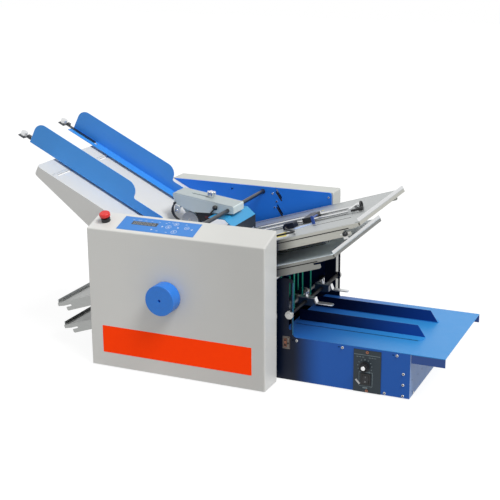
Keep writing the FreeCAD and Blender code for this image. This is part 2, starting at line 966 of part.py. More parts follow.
def tie_rod_places():
    """Rods through the flanges of the fold plates, two for each plate."""
    places = []
    for number in (1, 2, 3, 4):
        frame = plate_frame(number)
        length = plate_length(number)
        if number in (1, 2):
            outer = length - (upper_reach_1 if number == 1 else upper_reach_2) - tie_rod_outer_inset
        else:
            outer = length - (lower_reach_3 if number == 3 else lower_reach_4) - tie_rod_outer_inset
        for u in (tie_rod_inner_offset, outer):
            places.append(frame.multVec(V(u, 0, -tie_rod_drop)))
    return places


def journal_places():
    """Every shaft that runs in both frames."""
    places = roller_centres()
    places.append(feed_roller_centre())
    places += [V(belt_x, 0, belt_lower_z), V(belt_x, 0, belt_upper_z)]
    return places


def spacer_places():
    """Spacers that hold the chassis between the side frames."""
    span = upright_left - chassis_left
    columns = [chassis_left + span * share for share in spacer_column_shares]
    rows = [chassis_height * share for share in spacer_row_shares]
    return [V(x, 0, z) for x in columns for z in rows]


def table_stud_places():
    """Studs that hold the feed table between the side frames."""
    spots = [V(feed_stud_outer_u, 0, -feed_stud_outer_drop), V(feed_stud_inner_u, 0, -feed_stud_inner_drop)]
    return [feed_frame().multVec(spot) for spot in spots]


def table_stud(place, towards):
    """A stud through a frame, with a washer against the feed table and a head outside."""
    table = feed_front_y if towards < 0 else feed_rear_y
    inner = frame_inner_front if towards < 0 else frame_inner_rear
    outer = inner + frame_wall
    pieces = []
    for radius, start, end in ((feed_stud_washer, table, inner), (feed_stud_radius, table, outer),
                               (feed_stud_washer, outer, outer + tie_head_height)):
        low, high = sorted((towards * start, towards * end))
        pieces.append(rod_y(place.x, place.z, radius, low, high))
    return fuse(*pieces)


def frame_plate(height, inner, outer, towards):
    """A side frame: plate, foot flange, and holes for bearings and rods."""
    left = frame_end_inset
    right = cover_length - frame_end_inset
    points = [(left, 0), (right, 0), (right, height, frame_corner_radius),
              (left, height, frame_corner_radius)]
    low, high = sorted((towards * inner, towards * outer))
    near, far = sorted((towards * inner, towards * (outer + frame_flange_width)))
    inset = cover_lip + overrun
    plate = fuse(profile_y(points, low, high), box(inset, cover_length - inset, near, far, 0, frame_wall))
    cuts = []
    for place in journal_places():
        cuts.append(rod_y(place.x, place.z, bearing_radius, low - overrun, high + overrun))
    if towards < 0:
        cuts.append(rod_y(handwheel_x, handwheel_z, bearing_radius, low - overrun, high + overrun))
        gland = cable_points()[-1]
        cuts.append(rod_y(gland.x, gland.z, gland_radius, low - overrun, high + overrun))
    for place in tie_rod_places():
        cuts.append(rod_y(place.x, place.z, tie_rod_radius, low - overrun, high + overrun))
    for place in table_stud_places():
        cuts.append(rod_y(place.x, place.z, feed_stud_radius, low - overrun, high + overrun))
    cuts.append(rod_y(head_rod_x, head_rod_z, head_rod_radius, low - overrun, high + overrun))
    return plate.cut(cuts)


def frame_front():
    return frame_plate(frame_front_height, frame_inner_front, frame_outer_front, -1)


def frame_rear():
    """The rear frame, with its two slanting slots and its round hole."""
    low = frame_inner_rear - overrun
    high = frame_outer_rear + overrun
    top = frame_rear_height - rear_slot_drop
    cuts = [rod_y(rear_hole_x, frame_rear_height - rear_hole_drop, rear_hole_radius, low, high)]
    for x, z in ((rear_slot_x, top), (rear_slot_x + rear_slot_shift, top - rear_slot_pitch)):
        cuts.append(leaning_slot_y(x, z, x + rear_slot_run, z - rear_slot_fall, rear_slot_width, low, high))
    return frame_plate(frame_rear_height, frame_inner_rear, frame_outer_rear, 1).cut(cuts)


def tie_rod(place):
    """A rod through both frames with a head at each end."""
    front = -frame_outer_front
    rear = frame_outer_rear
    bar = rod_y(place.x, place.z, tie_rod_radius, front, rear)
    near = rod_y(place.x, place.z, tie_head_radius, front - tie_head_height, front)
    far = rod_y(place.x, place.z, tie_head_radius, rear, rear + tie_head_height)
    return fuse(bar, near, far)


def head_rod():
    """The rod that the feed head hangs on, with a collar against each frame."""
    front = -frame_inner_front
    rear = frame_inner_rear
    bar = rod_y(head_rod_x, head_rod_z, head_rod_radius, -frame_outer_front, frame_outer_rear)
    near = rod_y(head_rod_x, head_rod_z, head_collar_radius, front, front + head_collar_width)
    far = rod_y(head_rod_x, head_rod_z, head_collar_radius, rear - head_collar_width, rear)
    return fuse(bar, near, far)


def cross_rods():
    """Tie rods, head rod, studs of the feed table, spacers of the chassis, and all bearings."""
    rods = shaft_bearings() + [tie_rod(place) for place in tie_rod_places()] + [head_rod()]
    for place in table_stud_places():
        rods += [table_stud(place, -1), table_stud(place, 1)]
    for place in spacer_places():
        rods.append(rod_y(place.x, place.z, spacer_radius, -frame_inner_front, -chassis_half_width))
        rods.append(rod_y(place.x, place.z, spacer_radius, chassis_half_width, frame_inner_rear))
    return Part.makeCompound(rods)


def bearing(x, z, inner, towards):
    """A bearing ring in a frame."""
    start = inner - bearing_proud
    low, high = sorted((towards * start, towards * (start + bearing_width)))
    ring = rod_y(x, z, bearing_radius, low, high)
    return ring.cut(rod_y(x, z, journal_radius + running_clearance, low - overrun, high + overrun))


def shaft_bearings():
    """The bearings of the two frames."""
    rings = []
    for place in journal_places():
        rings.append(bearing(place.x, place.z, frame_inner_front, -1))
        rings.append(bearing(place.x, place.z, frame_inner_rear, 1))
    rings.append(bearing(handwheel_x, handwheel_z, frame_inner_front, -1))
    return rings


# Rollers and gears


def gear(x, z, pitch_radius, y0, y1):
    """A gear wheel: a disc just inside its pitch circle, with shallow tooth spaces."""
    radius = pitch_radius - gear_mesh_gap / 2
    teeth = int(round(2 * pitch_radius / gear_module))
    disc = rod_y(x, z, radius, y0, y1)
    half = math.pi * radius / teeth / 2
    cuts = []
    for i in range(teeth):
        cutter = box(x - half / 2, x + half / 2, y0 - overrun, y1 + overrun,
                     z + radius - gear_notch_depth, z + radius + overrun)
        cutter.rotate(V(x, 0, z), ALONG_Y, 360.0 * i / teeth)
        cuts.append(cutter)
    return disc.cut(cuts)


def fold_roller(number):
    """A fold roller with its journals and its gear; the fourth also carries a gear at the front."""
    place = roller_centres()[number - 1]
    front_end = -frame_inner_front - bearing_width + bearing_proud - journal_end
    rear_end = frame_outer_rear + gear_offset + gear_width + journal_end
    if number == 4:
        front_end = -frame_outer_front - gear_offset - gear_width - journal_end
    if number == 6:
        rear_end = motor_start() + motor_length / 2
    body = rod_y(place.x, place.z, (roller_pitch - roller_gap) / 2, -roller_half_length, roller_half_length)
    core = rod_y(place.x, place.z, journal_radius, front_end, rear_end)
    rear_gear = gear(place.x, place.z, roller_pitch / 2, frame_outer_rear + gear_offset,
                     frame_outer_rear + gear_offset + gear_width)
    core_space = rod_y(place.x, place.z, journal_radius, front_end - overrun, rear_end + overrun)
    solids = [fuse(body, core), rear_gear.cut(core_space)]
    if number == 4:
        front_gear = gear(place.x, place.z, roller_pitch / 2, -frame_outer_front - gear_offset - gear_width,
                          -frame_outer_front - gear_offset)
        solids.append(front_gear.cut(core_space))
    return Part.makeCompound(solids)


def drive_gear_radius():
    """Pitch radius of the handwheel's gear, which meshes with the fourth roller's front gear."""
    place = roller_centres()[3]
    return math.hypot(place.x - handwheel_x, place.z - handwheel_z) - roller_pitch / 2


def feed_gear_radius():
    """Pitch radius of the feed roller's gear, which meshes with the first roller's gear."""
    place = roller_centres()[0]
    feed = feed_roller_centre()
    return math.hypot(place.x - feed.x, place.z - feed.z) - roller_pitch / 2


def handwheel():
    """Round grip with a socket in front and a blind bore for its shaft."""
    back = -frame_outer_front - front_cover_depth - handwheel_gap
    front = back - handwheel_length
    wheel = rod_y(handwheel_x, handwheel_z, handwheel_radius, front, back)
    wheel = wheel.makeFillet(handwheel_edge_radius, round_edges(wheel, lambda c: True))
    deep = front + handwheel_socket_depth
    socket = rod_y(handwheel_x, handwheel_z, handwheel_socket_radius, front - overrun, deep)
    bore = rod_y(handwheel_x, handwheel_z, drive_shaft_radius, back - handwheel_bore_depth, back + overrun)
    return wheel.cut([socket, bore])


def drive_shaft():
    """Shaft of the handwheel, through the front cover to its bearing, with its gear."""
    back = -frame_outer_front - front_cover_depth - handwheel_gap
    start = back - handwheel_bore_depth
    end = -frame_inner_front + bearing_proud + journal_end
    shaft = rod_y(handwheel_x, handwheel_z, drive_shaft_radius, start, end)
    near = -frame_outer_front - gear_offset
    wheel = gear(handwheel_x, handwheel_z, drive_gear_radius(), near - gear_width, near)
    wheel = wheel.cut(rod_y(handwheel_x, handwheel_z, drive_shaft_radius, start, end))
    return Part.makeCompound([shaft, wheel])


def motor_start():
    """Near face of the gear motor."""
    return frame_outer_rear + gear_offset + gear_width + journal_end + motor_clearance


def drive_motor():
    """Gear motor on three standoffs, around the end of the bottom roller."""
    place = roller_centres()[5]
    start = motor_start()
    can = rod_y(place.x, place.z, motor_radius, start, start + motor_length)
    can = can.makeFillet(motor_edge_radius, round_edges(can, lambda c: c.y > start + motor_length / 2))
    can = can.cut(rod_y(place.x, place.z, journal_radius + running_clearance, start - overrun,
                        start + motor_length / 2 + motor_clearance))
    legs = []
    for angle in (0, 180, 270):
        x = place.x + motor_standoff_circle * math.cos(math.radians(angle))
        z = place.z + motor_standoff_circle * math.sin(math.radians(angle))
        legs.append(rod_y(x, z, motor_standoff_radius, frame_outer_rear, start))
    return fuse(can, *legs)


def feed_roller():
    """Rubber feed roller, its shaft and its gear."""
    place = feed_roller_centre()
    rear_end = frame_outer_rear + gear_offset + gear_width + journal_end
    front_end = -frame_inner_front - bearing_width + bearing_proud - journal_end
    half = feed_roller_half_length
    near = frame_outer_rear + gear_offset
    shaft = rod_y(place.x, place.z, feed_shaft_radius, front_end, rear_end)
    rubber = rod_y(place.x, place.z, feed_roller_radius, -half, half)
    wheel = gear(place.x, place.z, feed_gear_radius(), near, near + gear_width)
    return Part.makeCompound([shaft, rubber.cut(shaft), wheel.cut(shaft)])


# Covers


def open_shell(points, x0, x1, wall, room_points, window):
    """A prism along X, hollowed by a smaller prism and opened by a window in its inner side."""
    body = profile_x(points, x0, x1)
    middle_y = (points[0][0] + points[1][0]) / 2
    outer_y = points[1][0]
    across = lambda c: abs(c.y - outer_y) < abs(middle_y - outer_y)
    ends = lambda c: c.x < x0 + wall or c.x > x1 - wall
    rounded = edges_along(body, ALONG_Z, lambda c: across(c) and ends(c))
    body = body.makeFillet(cover_edge_radius, rounded)
    room = profile_x(room_points, x0 + wall, x1 - wall)
    return body.cut([room, window])


def front_cover():
    """Front cover: outer wall, slanted top, two ends, and a lip that lies on the front frame."""
    inner = -frame_outer_front
    outer = inner - front_cover_depth
    slope = (front_top_height - front_face_height) / front_cover_depth
    points = [(inner, 0), (outer, 0), (outer, front_face_height, cover_edge_radius),
              (inner, front_top_height)]
    drop = cover_wall / math.cos(math.radians(slant_angle()))
    room = [(inner - cover_wall, -overrun), (outer + cover_wall, -overrun),
            (outer + cover_wall, front_face_height + slope * cover_wall - drop),
            (inner - cover_wall, front_top_height - slope * cover_wall - drop)]
    window = box(cover_lip, cover_length - cover_lip, inner - cover_wall - overrun, inner + overrun,
                 -overrun, front_top_height - cover_lip)
    shell = open_shell(points, 0, cover_length, cover_wall, room, window)
    through = outer + cover_wall + overrun
    shaft_hole = rod_y(handwheel_x, handwheel_z, cover_shaft_hole, outer - overrun, through)
    neck = Part.makeCylinder(stop_neck_radius, 2 * stop_neck_length, V(0, 0, -stop_neck_length), ALONG_Z)
    return shell.cut([shaft_hole, placed(neck, slant_frame(stop_x, stop_from_edge))])


def rear_cover():
    """Rear cover: outer wall, flat top, two ends, and a lip that lies on the rear frame."""
    inner = frame_outer_rear
    outer = inner + rear_cover_depth
    top = rear_top_height
    points = [(inner, 0), (outer, 0), (outer, top, cover_edge_radius), (inner, top)]
    room = [(inner + cover_wall, -overrun), (outer - cover_wall, -overrun),
            (outer - cover_wall, top - cover_wall), (inner + cover_wall, top - cover_wall)]
    window = box(cover_lip, cover_length - cover_lip, inner - overrun, inner + cover_wall + overrun,
                 -overrun, top - cover_lip)
    return open_shell(points, 0, cover_length, cover_wall, room, window)


def control_panel():
    """Overlay of the control panel on the slanted top, and the collar of the stop button beside it."""
    near = panel_near_share * slant_length()
    far = panel_far_share * slant_length()
    plate = box(0, panel_right - panel_left, 0, far - near, 0, panel_thickness)
    return Part.makeCompound([placed(plate, slant_frame(panel_left, near)), stop_collar()])


def stop_collar():
    """Collar of the stop button, with its neck through the cover."""
    collar = Part.makeCylinder(stop_collar_radius, stop_collar_height)
    neck = Part.makeCylinder(stop_neck_radius, stop_neck_length, V(0, 0, -stop_neck_length))
    length = stop_neck_length + stop_collar_height
    bore = Part.makeCylinder(stop_stem_radius + running_clearance, length + 2 * overrun,
                             V(0, 0, -stop_neck_length - overrun))
    return placed(fuse(collar, neck).cut(bore), slant_frame(stop_x, stop_from_edge))


def stop_button():
    """Mushroom button on its stem, high enough above the collar for its travel."""
    under = stop_collar_height + stop_button_travel + stop_button_gap
    half = stop_button_height / 2
    head = Part.makeCylinder(stop_button_radius, stop_button_height, V(0, 0, under))
    head = head.makeFillet(half, round_edges(head, lambda c: c.z > under + half))
    stem = Part.makeCylinder(stop_stem_radius, under - half, V(0, 0, half))
    return placed(fuse(head, stem), slant_frame(stop_x, stop_from_edge))


# Fold plates


def lobe_inset(number):
    """How far the flanges of a plate end before its sheet."""
    return plate_lobe_inset_2 if number == 2 else plate_lobe_inset


def plate_panels(number):
    """The sheets and side flanges of a plate, in its own axes."""
    length = plate_length(number)
    half = plate_half_width
    inner = half - plate_flange_wall
    lower = -plate_sheet - plate_paper_gap
    top = box(0, length, -half, half, -plate_sheet, 0)
    bottom = box(0, length, -inner, inner, lower - plate_sheet, lower)
    lobe = length - lobe_inset(number)
    points = [(0, -plate_sheet), (length, -plate_sheet), (length, -plate_notch_top + plate_notch_width / 2),
              (lobe + plate_notch_width, -plate_notch_top), (lobe, -plate_notch_top),
              (lobe, -plate_flange_depth, plate_lobe_radius), (0, -plate_flange_depth)]
    side = profile_y(points, -half, -half + plate_flange_wall)
    notch = level_slot_y(lobe - plate_notch_depth, lobe + plate_notch_width,
                         -plate_notch_top - plate_notch_width, -plate_notch_top,
                         -half - overrun, -half + plate_flange_wall + overrun)
    side = side.cut(notch)
    return [top, bottom, side, mirror_y(side)]


def end_bar(length):
    """Bar across the outer end of a plate: an upright strip with a foot on the plate."""
    half = end_bar_half_length
    lean = end_bar_above * end_bar_lean_share
    points = [(length, -end_bar_below), (length + end_bar_thickness, -end_bar_below),
              (length + end_bar_thickness - lean, end_bar_above), (length - lean, end_bar_above),
              (length, end_bar_thickness / 2), (length - end_bar_foot, end_bar_thickness / 2),
              (length - end_bar_foot, 0), (length, 0)]
    return profile_y(points, -half, half)


def plate_bridge(u, ring, side):
    """Block across the plate that holds one end of the two rails."""
    front, rear = sorted((side * rail_front_y, side * rail_rear_y))
    block = box(u, u + bridge_thickness, front - bridge_overhang, rear + bridge_overhang, 0, bridge_height)
    arch = box(u - overrun, u + bridge_thickness + overrun, front + bridge_overhang, rear - bridge_overhang,
               -overrun, rail_height / 2)
    block = block.cut(arch)
    if ring:
        outer = u + bridge_thickness
        hoop = rod_x(side * rail_rear_y, ring_height, ring_radius, outer, outer + ring_width)
        hoop_bore = rod_x(side * rail_rear_y, ring_height, ring_bore, outer, outer + ring_width + overrun)
        screw_hole = rod_x(side * rail_front_y, rail_height, rail_radius + running_clearance,
                           outer - bridge_thickness / 2, outer + overrun)
        block = fuse(block, hoop).cut([screw_hole, hoop_bore])
    return block


def plate_cuts(number):
    """Cutters for the finger slots, the two grooves and the tie rods of a plate."""
    length = plate_length(number)
    inner, outer = stop_range(number)
    rest = stop_rest(number)
    middle = plate_side(number) * (rail_front_y + rail_rear_y) / 2
    cuts = []
    for offset in (-finger_spread / 2, finger_spread / 2):
        near = middle + offset - finger_slot_width / 2
        cuts.append(slot_z(rest + inner - finger_slot_width, rest + outer + finger_slot_width,
                           near, near + finger_slot_width, -plate_sheet - overrun, overrun))
    groove = plate_half_width - plate_groove_inset
    for edge in (-groove, groove - plate_groove_width):
        cuts.append(box(-overrun, length - lobe_inset(number), edge, edge + plate_groove_width,
                        -plate_groove_depth, overrun))
    reach = plate_half_width + overrun
    for place in tie_rod_places():
        local = plate_frame(number).inverse().multVec(place)
        if abs(local.z + tie_rod_drop) < running_clearance and 0 < local.x < length:
            cuts.append(rod_y(local.x, local.z, tie_rod_radius, -reach, reach))
    return cuts


def fold_plate(number):
    """A fold plate with its end bar, rail bridges and rails."""
    length = plate_length(number)
    side = plate_side(number)
    panels = [panel.cut(plate_cuts(number)) for panel in plate_panels(number)]
    far = length - rail_outer_inset
    bridges = [plate_bridge(rail_inner_start, False, side), plate_bridge(far, True, side)]
    rails = []
    for y in (side * rail_front_y, side * rail_rear_y):
        rails.append(rod_x(y, rail_height, rail_radius, rail_inner_start + bridge_thickness, far))
    pieces = panels + [end_bar(length)] + bridges + rails
    return Part.makeCompound([placed(piece, plate_frame(number)) for piece in pieces])


def fold_stop(number):
    """Stop carriage on its rails, with two fingers through the top sheet and a bar between the sheets."""
    side = plate_side(number)
    rest = stop_rest(number)
    front, rear = sorted((side * rail_front_y, side * rail_rear_y))
    middle = (front + rear) / 2
    half = carriage_length / 2
    block = box(rest - half, rest + half, front - carriage_overhang, rear + carriage_overhang,
                carriage_base, carriage_height)
    reach = half + overrun
    hole = rail_radius + running_clearance
    block = block.cut([rod_x(y, rail_height, hole, rest - reach, rest + reach) for y in (front, rear)])
    fingers = []
    low = -plate_sheet - stop_bar_height - slide_gap
    left = rest - finger_length / 2
    right = rest + finger_length / 2
    for offset in (-finger_spread / 2, finger_spread / 2):
        near = middle + offset - finger_width / 2
        fingers.append(box(left, right, near, near + finger_width, low, carriage_base))
    reach = finger_spread / 2 + stop_bar_overhang
    bar = box(left, right, middle - reach, middle + reach, low, -plate_sheet - slide_gap)
    return placed(fuse(block, bar, *fingers), plate_frame(number))


def fine_knob_1():
    """Fine adjustment knob on the end of the front rail of upper plate 1."""
    far = plate_length(1) - rail_outer_inset + bridge_thickness
    stem = rod_x(rail_front_y, rail_height, rail_radius, far - bridge_thickness / 2, far + fine_knob_reach)
    knob = rod_x(rail_front_y, rail_height, fine_knob_radius, far + fine_knob_reach - fine_knob_length,
                 far + fine_knob_reach)
    return placed(fuse(stem, knob), plate_frame(1))


# Sensor connector and cable


def connector_box():
    """Corners of the connector in the axes of upper plate 1: u, y and height."""
    u = connector_u_share * plate_length(1)
    y = rail_front_y - connector_rail_gap
    return u, u + connector_length, y - connector_width, y, 0, connector_height


def sensor_connector():
    """Connector block on upper plate 1, and the gland in the front frame."""
    u0, u1, y0, y1, z0, z1 = connector_box()
    points = [(u0, z0), (u1, z0), (u1, z1 - connector_edge), (u1 - connector_edge, z1),
              (u0 + 2 * connector_edge, z1), (u0, z1 - 2 * connector_edge)]
    block = placed(profile_y(points, y0, y1), plate_frame(1))
    end = cable_points()[-1]
    start = -frame_inner_front + gland_seat
    gland = rod_y(end.x, end.z, gland_radius, start - gland_length, start)
    gland = gland.cut(rod_y(end.x, end.z, cable_radius, start - gland_length - overrun, start + overrun))
    return Part.makeCompound([block, gland])


def cable_points():
    """Route of the sensor cable, from the connector to the front frame."""
    u0, u1, y0, y1, z0, z1 = connector_box()
    frame = plate_frame(1)
    points = [frame.multVec(V(u0 + along, y0 - out, up)) for along, out, up in cable_route]
    last = points[-1]
    points.append(V(last.x, -frame_outer_front - cable_tail, last.z))
    return points


def cord_tube(points, radius):
    """A tube along straight runs that are joined by tangent arcs; prints its arc radii."""
    edges = []
    radii = []
    start = points[0]
    for i in range(1, len(points) - 1):
        back = points[i - 1] - points[i]
        ahead = points[i + 1] - points[i]
        short = min(back.Length, ahead.Length)
        half = back.getAngle(ahead) / 2
        reach = cable_bend_share * short
        back.normalize()
        ahead.normalize()
        bend = reach * math.tan(half)
        middle = back + ahead
        middle.normalize()
        tip = points[i] + middle * (bend / math.sin(half) - bend)
        edges.append(Part.makeLine(start, points[i] + back * reach))
        edges.append(Part.Arc(points[i] + back * reach, tip, points[i] + ahead * reach).toShape())
        start = points[i] + ahead * reach
        radii.append(bend)
    edges.append(Part.makeLine(start, points[-1]))
    path = Part.Wire(edges)
    ring = Part.Wire([Part.makeCircle(radius, points[0], points[1] - points[0])])
    tube = path.makePipeShell([ring], True, False)
    print("cable length %.1f, volume over section times length %.4f, arc radii %s" % (
        path.Length, tube.Volume / (math.pi * radius * radius * path.Length),
        ", ".join("%.1f" % value for value in radii)))
    return tube


def sensor_cable():
    return cord_tube(cable_points(), cable_radius)


# Feed table


def feed_outline(wall, past):
    """Side outline of the table: its top and end moved in by a wall, its open sides moved out."""
    depth = feed_end_depth + feed_skirt_length * math.tan(math.radians(feed_skirt_angle))
    right = feed_length + past
    return [(wall, -wall), (right, -wall), (right, -feed_inner_depth - past),
            (feed_skirt_length, -feed_inner_depth - past), (feed_skirt_length, -depth - past),
            (wall, -feed_end_depth - past)]


def feed_table():
    """Sloping table with a tapered skirt, rounded corners, cross slots and a window for the feed roller."""
    body = profile_y(feed_outline(0, 0), -feed_front_y, feed_rear_y)
    corners = edges_along(body, ALONG_Z, lambda c: c.x < feed_wall)
    body = body.makeFillet(feed_corner_radius, corners)
    past = feed_end_depth
    room = profile_y(feed_outline(feed_wall, past), -feed_front_y + feed_wall, feed_rear_y - feed_wall)
    corners = edges_along(room, ALONG_Z, lambda c: c.x < 2 * feed_wall)
    room = room.makeFillet(feed_corner_radius - feed_wall, corners)
    body = body.cut(room)
    centre = feed_frame().inverse().multVec(feed_roller_centre())
    half = feed_window_length / 2
    cuts = [box(centre.x - half, centre.x + half, -feed_window_half_width, feed_window_half_width,
                -feed_wall - overrun, overrun)]
    for u in (feed_slot_first, feed_slot_second):
        for side in (-1, 1):
            near, far = sorted((side * feed_slot_inner, side * feed_slot_outer))
            cuts.append(slot_z(u - feed_slot_width / 2, u + feed_slot_width / 2, near, far,
                               -feed_wall - overrun, overrun))
    return placed(body.cut(cuts), feed_frame())


# Feed guides


def guide_wall_points():
    """Outline of a guide's wall: tall part with round corners, then a low lip."""
    left = -guide_overhang
    right = left + guide_length
    drop = left + guide_tall_length
    base = guide_lift
    lip = base + guide_lip_height
    top = base + guide_height
    return [(left, base), (right, base), (right, lip, guide_lip_radius), (drop, lip, guide_foot_radius),
            (drop, top, guide_drop_radius), (left, top, guide_corner_radius)]


def feed_guide(side):
    """A feed guide: wall, flange with its slot, and two clamping pins through the table's cross slots."""
    wall = profile_y(guide_wall_points(), -guide_y - guide_wall, -guide_y)
    left = -guide_overhang
    inner = -guide_y + guide_flange
    top = guide_lift + guide_wall
    flange = box(left, left + guide_length, -guide_y - guide_wall, inner, guide_lift, top)
    near = -guide_y + guide_slot_inset - guide_slot_width / 2
    slot = slot_z(left + guide_slot_start, left + guide_slot_start + guide_slot_length,
                  near, near + guide_slot_width, guide_lift - overrun, top + overrun)
    pieces = [wall, flange]
    y = inner - guide_pin_inset
    under = -feed_wall - slide_gap
    for u in (feed_slot_first, feed_slot_second):
        pieces.append(rod_z(u, y, guide_pin_radius, under - guide_nut_height, guide_lift))
        pieces.append(rod_z(u, y, guide_pin_washer, slide_gap, guide_lift))
        pieces.append(rod_z(u, y, guide_pin_washer, under - guide_nut_height, under))
    body = fuse(*pieces).cut(slot)
    if side > 0:
        body = mirror_y(body)
    return placed(body, feed_frame())


def arm_y(side):
    """Middle of an extension arm."""
    return side * (guide_y - guide_slot_inset)


def extension_arm(side):
    """Flat arm on the guide's flange, with a pin in the slot and a finger at its outer end."""
    base = guide_lift + guide_wall + slide_gap
    left = -guide_overhang - arm_overhang
    y = arm_y(side)
    bar = box(left, left + arm_length, y - arm_width / 2, y + arm_width / 2, base, base + arm_thickness)
    pin_u = left + arm_length - arm_pin_from_end
    pin = rod_z(pin_u, y, arm_pin_radius, guide_lift - arm_thickness, base)
    tab_u = left + 2 * knob_radius
    tab = box(tab_u, tab_u + arm_width, y - arm_width / 2, y + arm_width / 2, base, base + arm_tab_height)
    finger = box(left, left + 2 * knob_radius, y - arm_finger_length - arm_width / 2, y + arm_width / 2,
                 base, base + arm_thickness)
    stud = rod_z(left + knob_radius, y - arm_finger_length / 2, knob_stud_radius + running_clearance,
                 base - overrun, base + arm_thickness + overrun)
    return placed(fuse(bar, pin, tab, finger).cut(stud), feed_frame())


def arm_knob(side):
    """Knurled thumb knob with its stud through the arm's finger."""
    base = guide_lift + guide_wall + slide_gap + arm_thickness
    u = -guide_overhang - arm_overhang + knob_radius
    y = arm_y(side) - arm_finger_length / 2
    knob = rod_z(u, y, knob_radius, base + knob_lift, base + knob_lift + knob_height)
    cuts = []
    for i in range(knob_notches):
        angle = 2 * math.pi * i / knob_notches
        cuts.append(rod_z(u + knob_radius * math.cos(angle), y + knob_radius * math.sin(angle),
                          knob_notch_radius, base, base + knob_height + overrun))
    knob = knob.cut(cuts)
    stud = rod_z(u, y, knob_stud_radius, base - arm_thickness - knob_height / 2, base + knob_height / 2)
    return placed(fuse(knob, stud), feed_frame())


# Feed head


def head_outline(wall):
    """Side outline of the feed head, moved in by a wall and open below."""
    if wall == 0:
        return [(head_left_x, head_left_z, head_corner_radius), (head_chin_x, head_chin_z),
                (head_waist_x, head_waist_z), (head_right_x, head_bottom_right_z),
                (head_right_x, head_right_z, head_corner_radius)]
    low = head_left_z - head_chin_z
    return [(head_left_x + wall, head_left_z - wall), (head_left_x + wall, head_chin_z - low),
            (head_right_x - wall, head_chin_z - low), (head_right_x - wall, head_right_z - wall)]


def head_top_z(x):
    """Height of the head's top face."""
    share = (x - head_left_x) / (head_right_x - head_left_x)
    return head_left_z + share * (head_right_z - head_left_z)


def separator_hanger():
    """Web in the middle of the head, with the eye that holds the separator wheel's pin."""
    half = hanger_wall / 2
    eye = rod_y(separator_x, separator_z, hanger_eye_radius, -half, half)
    inner = head_left_x + head_wall / 2
    outer = separator_x + hanger_eye_radius
    right = inner + hanger_reach
    points = [(inner, head_top_z(inner) - head_wall), (right, head_top_z(right) - head_wall),
              (outer, separator_z), (outer - 2 * hanger_eye_radius, separator_z), (inner, head_chin_z)]
    return fuse(profile_y(points, -half, half), eye)


def feed_head():
    """Sheet housing of the feed head, with a web inside that holds the separator wheel."""
    half = head_half_width
    body = profile_y(head_outline(0), -half, half)
    room = profile_y(head_outline(head_wall), -half + head_wall, half - head_wall)
    body = fuse(body.cut(room), separator_hanger())
    reach = half + overrun
    long = head_slot_length / 2
    cuts = [rod_y(head_rod_x, head_rod_z, head_rod_radius + running_clearance, -reach, reach),
            rod_y(separator_x, separator_z, separator_bore, -reach, reach),
            slot_z(head_slot_x - long, head_slot_x + long, -head_slot_width / 2, head_slot_width / 2,
                   head_right_z, head_left_z + overrun)]
    return body.cut(cuts)


def head_knob_frame():
    """Placement on the head's top face."""
    slope = math.degrees(math.atan2(head_left_z - head_right_z, head_right_x - head_left_x))
    return FreeCAD.Placement(V(head_knob_x, 0, head_top_z(head_knob_x)), FreeCAD.Rotation(ALONG_Y, slope))


def head_knob():
    """Star knob on the head's top face, with its stud through the slot."""
    top = slide_gap + head_knob_hub_height
    pieces = [Part.makeCylinder(head_knob_core_radius, head_knob_height, V(0, 0, top))]
    pieces.append(Part.makeCylinder(head_knob_hub_radius, head_knob_hub_height, V(0, 0, slide_gap)))
    pieces.append(Part.makeCylinder(head_knob_stud_radius, head_knob_stud_length,
                                    V(0, 0, slide_gap - head_knob_stud_length)))
    reach = head_knob_radius - head_knob_lobe_radius
    for i in range(head_knob_lobes):
        angle = 2 * math.pi * i / head_knob_lobes
        pieces.append(rod_z(reach * math.cos(angle), reach * math.sin(angle), head_knob_lobe_radius, top,
                            top + head_knob_height))
    return placed(fuse(*pieces), head_knob_frame())


def separator_wheel():
    """Fixed separator wheel on its pin, grooved round the middle for the hanger."""
    half = separator_width / 2
    groove = hanger_wall / 2 + hanger_gap
    discs = [rod_y(separator_x, separator_z, separator_radius, low, high)
             for low, high in ((-half, -groove), (groove, half))]
    return fuse(rod_y(separator_x, separator_z, separator_bore, -half, half), *discs)


def retainer_strap():
    """Curved strap on the near side of the head, with its screw."""
    y0 = -head_half_width - strap_width
    y1 = -head_half_width
    top = V(head_chin_x, y0, head_chin_z)
    low = V(head_chin_x + strap_reach + strap_thickness, y0, head_chin_z - strap_drop)
    bulge = V(head_chin_x - strap_reach / 2, y0, head_chin_z - strap_drop / 2)
    outer = Part.Arc(top, bulge, low).toShape()
    shift = V(strap_thickness, 0, 0)
    inner = Part.Arc(low + shift, bulge + shift, top + shift).toShape()
    wire = Part.Wire([outer, Part.makeLine(low, low + shift), inner, Part.makeLine(top + shift, top)])
    strip = Part.Face(wire).extrude(V(0, y1 - y0, 0))
    tab = box(head_chin_x, head_chin_x + strap_tab, y0, y1, head_chin_z, head_chin_z + strap_tab)
    screw = rod_x(y0 + strap_width / 2, bulge.z, strap_screw_radius, bulge.x - strap_thickness / 2,
                  bulge.x + strap_thickness)
    return fuse(strip, tab, screw)


def transfer_cover():
    """Bent cover between the feed head and upper plate 1, standing on that plate."""
    frame = plate_frame(1)
    rise = math.tan(math.radians(upper_angle))
    foot = frame.Base.z + (transfer_right - frame.Base.x) * rise + slide_gap
    wall = transfer_wall
    low = transfer_top - transfer_slope_drop
    inner = transfer_right - wall
    under = transfer_top - wall
    points = [(transfer_left, transfer_top), (transfer_bend, transfer_top), (transfer_right, low),
              (transfer_right, foot), (inner, foot), (inner, low - wall / 2),
              (transfer_bend - wall / 2, under), (transfer_left, under)]
    return profile_y(points, -transfer_front_y, transfer_rear_y)


# Exit


def belt_rows():
    """Middle planes of the exit belts."""
    return [-belt_spacing, 0, belt_spacing]


